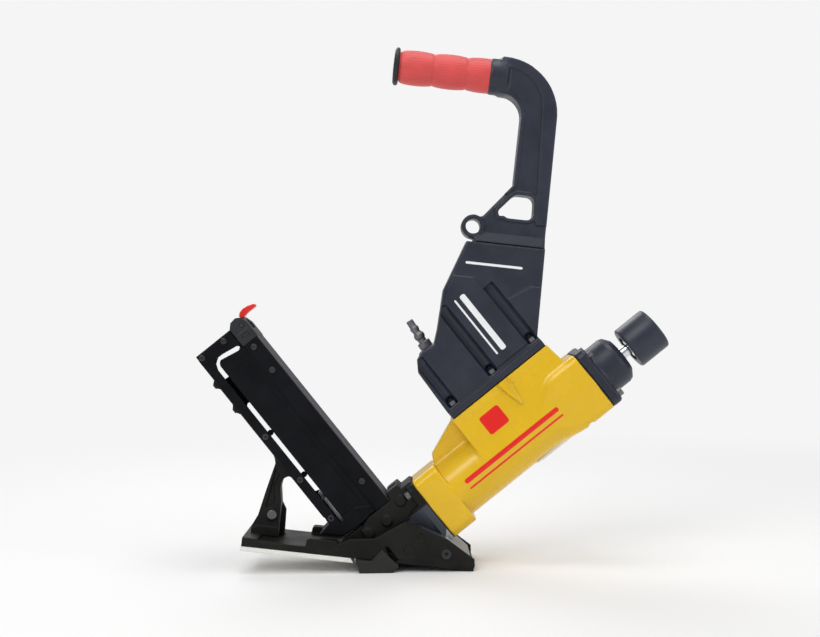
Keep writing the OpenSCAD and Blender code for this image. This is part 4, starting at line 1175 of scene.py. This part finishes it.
class NailerSettings(bpy.types.PropertyGroup):
    casting_colour: FloatVectorProperty(
        name="Casting", description="Paint of the body casting",
        subtype="COLOR", size=3, min=0, max=1,
        default=(0.78, 0.48, 0.003))
    housing_colour: FloatVectorProperty(
        name="Handle", description="Paint of the handle housing and head cap",
        subtype="COLOR", size=3, min=0, max=1,
        default=(0.018, 0.0215, 0.038))
    shoe_colour: FloatVectorProperty(
        name="Shoe", description="Coating of the shoe, nose and strut",
        subtype="COLOR", size=3, min=0, max=1,
        default=(0.0075, 0.0075, 0.0065))
    magazine_colour: FloatVectorProperty(
        name="Magazine", description="Anodising of the magazine covers",
        subtype="COLOR", size=3, min=0, max=1,
        default=(0.004, 0.0045, 0.0065))
    grip_colour: FloatVectorProperty(
        name="Grip", description="Rubber of the grip", subtype="COLOR", size=3, min=0, max=1,
        default=(0.66, 0.062, 0.058))
    cap_colour: FloatVectorProperty(
        name="Strike cap", description="Plastic of the strike cap",
        subtype="COLOR", size=3, min=0, max=1,
        default=(0.02, 0.0245, 0.042))
    print_colour: FloatVectorProperty(
        name="Stripes", description="Plain badge and stripes on the casting",
        subtype="COLOR", size=3, min=0, max=1,
        default=(0.8, 0.008, 0.004))
    casting_grid: FloatProperty(
        name="Casting detail", description="Grid of the castings in millimetres",
        default=1.3, min=0.8, max=3)
    housing_grid: FloatProperty(
        name="Handle detail", description="Grid of the handle housing in millimetres",
        default=1.45, min=1, max=3)
    cover_grid: FloatProperty(
        name="Cover detail", description="Grid of the magazine covers in millimetres",
        default=1.0, min=0.6, max=3)
    fine_grid: FloatProperty(
        name="Fine detail", description="Grid of the small castings in millimetres",
        default=0.9, min=0.5, max=3)


class StageSettings(bpy.types.PropertyGroup):
    floor_colour: FloatVectorProperty(
        name="Floor", description="Colour of the floor", subtype="COLOR", size=3, min=0, max=1,
        default=(0.86, 0.86, 0.86))
    backdrop_colour: FloatVectorProperty(
        name="Backdrop", description="Colour of the sky and of the far floor",
        subtype="COLOR", size=3, min=0, max=1,
        default=(0.913, 0.913, 0.913))
    sky: FloatProperty(name="Sky", description="Strength of the even light", default=0.5, min=0)
    light: FloatProperty(name="Lights", description="Factor on all lamps", default=1.0, min=0)
    distance: FloatProperty(
        name="Distance", description="Camera's distance from the middle plane",
        default=1.25, unit="LENGTH")
    lens: FloatProperty(name="Lens", description="Focal length", default=51.3, unit="CAMERA")
    roll: FloatProperty(name="Roll", description="Clockwise turn of the camera in degrees", default=0.8)


OPERATORS = (NAILER_OT_stage, NAILER_OT_cad, NAILER_OT_casting, NAILER_OT_head, NAILER_OT_nose,
        NAILER_OT_shoe,
             NAILER_OT_magazine, NAILER_OT_latch, NAILER_OT_strut, NAILER_OT_handle, NAILER_OT_grip, NAILER_OT_air,
             NAILER_OT_fasteners)


class NAILER_PT_panel(bpy.types.Panel):
    bl_label = "Flooring Nailer"
    bl_space_type = "VIEW_3D"
    bl_region_type = "UI"
    bl_category = "Nailer"

    def draw(self, context):
        for group in (context.scene.nailer, context.scene.nailer_stage):
            for key in group.bl_rna.properties.keys():
                if key not in ("rna_type", "name"):
                    self.layout.prop(group, key)
        for op in OPERATORS:
            self.layout.operator(op.bl_idname)


CLASSES = (NailerSettings, StageSettings, *OPERATORS, NAILER_PT_panel)


def register():
    for cls in CLASSES:
        bpy.utils.register_class(cls)
    bpy.types.Scene.nailer = PointerProperty(type=NailerSettings)
    bpy.types.Scene.nailer_stage = PointerProperty(type=StageSettings)


def unregister():
    del bpy.types.Scene.nailer_stage
    del bpy.types.Scene.nailer
    for cls in reversed(CLASSES):
        bpy.utils.unregister_class(cls)


def main():
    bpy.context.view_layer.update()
    register()
    make_finishes()
    for op in OPERATORS:
        getattr(bpy.ops.nailer, op.bl_idname.split(".")[1])()


if __name__ == "__main__":
    main()
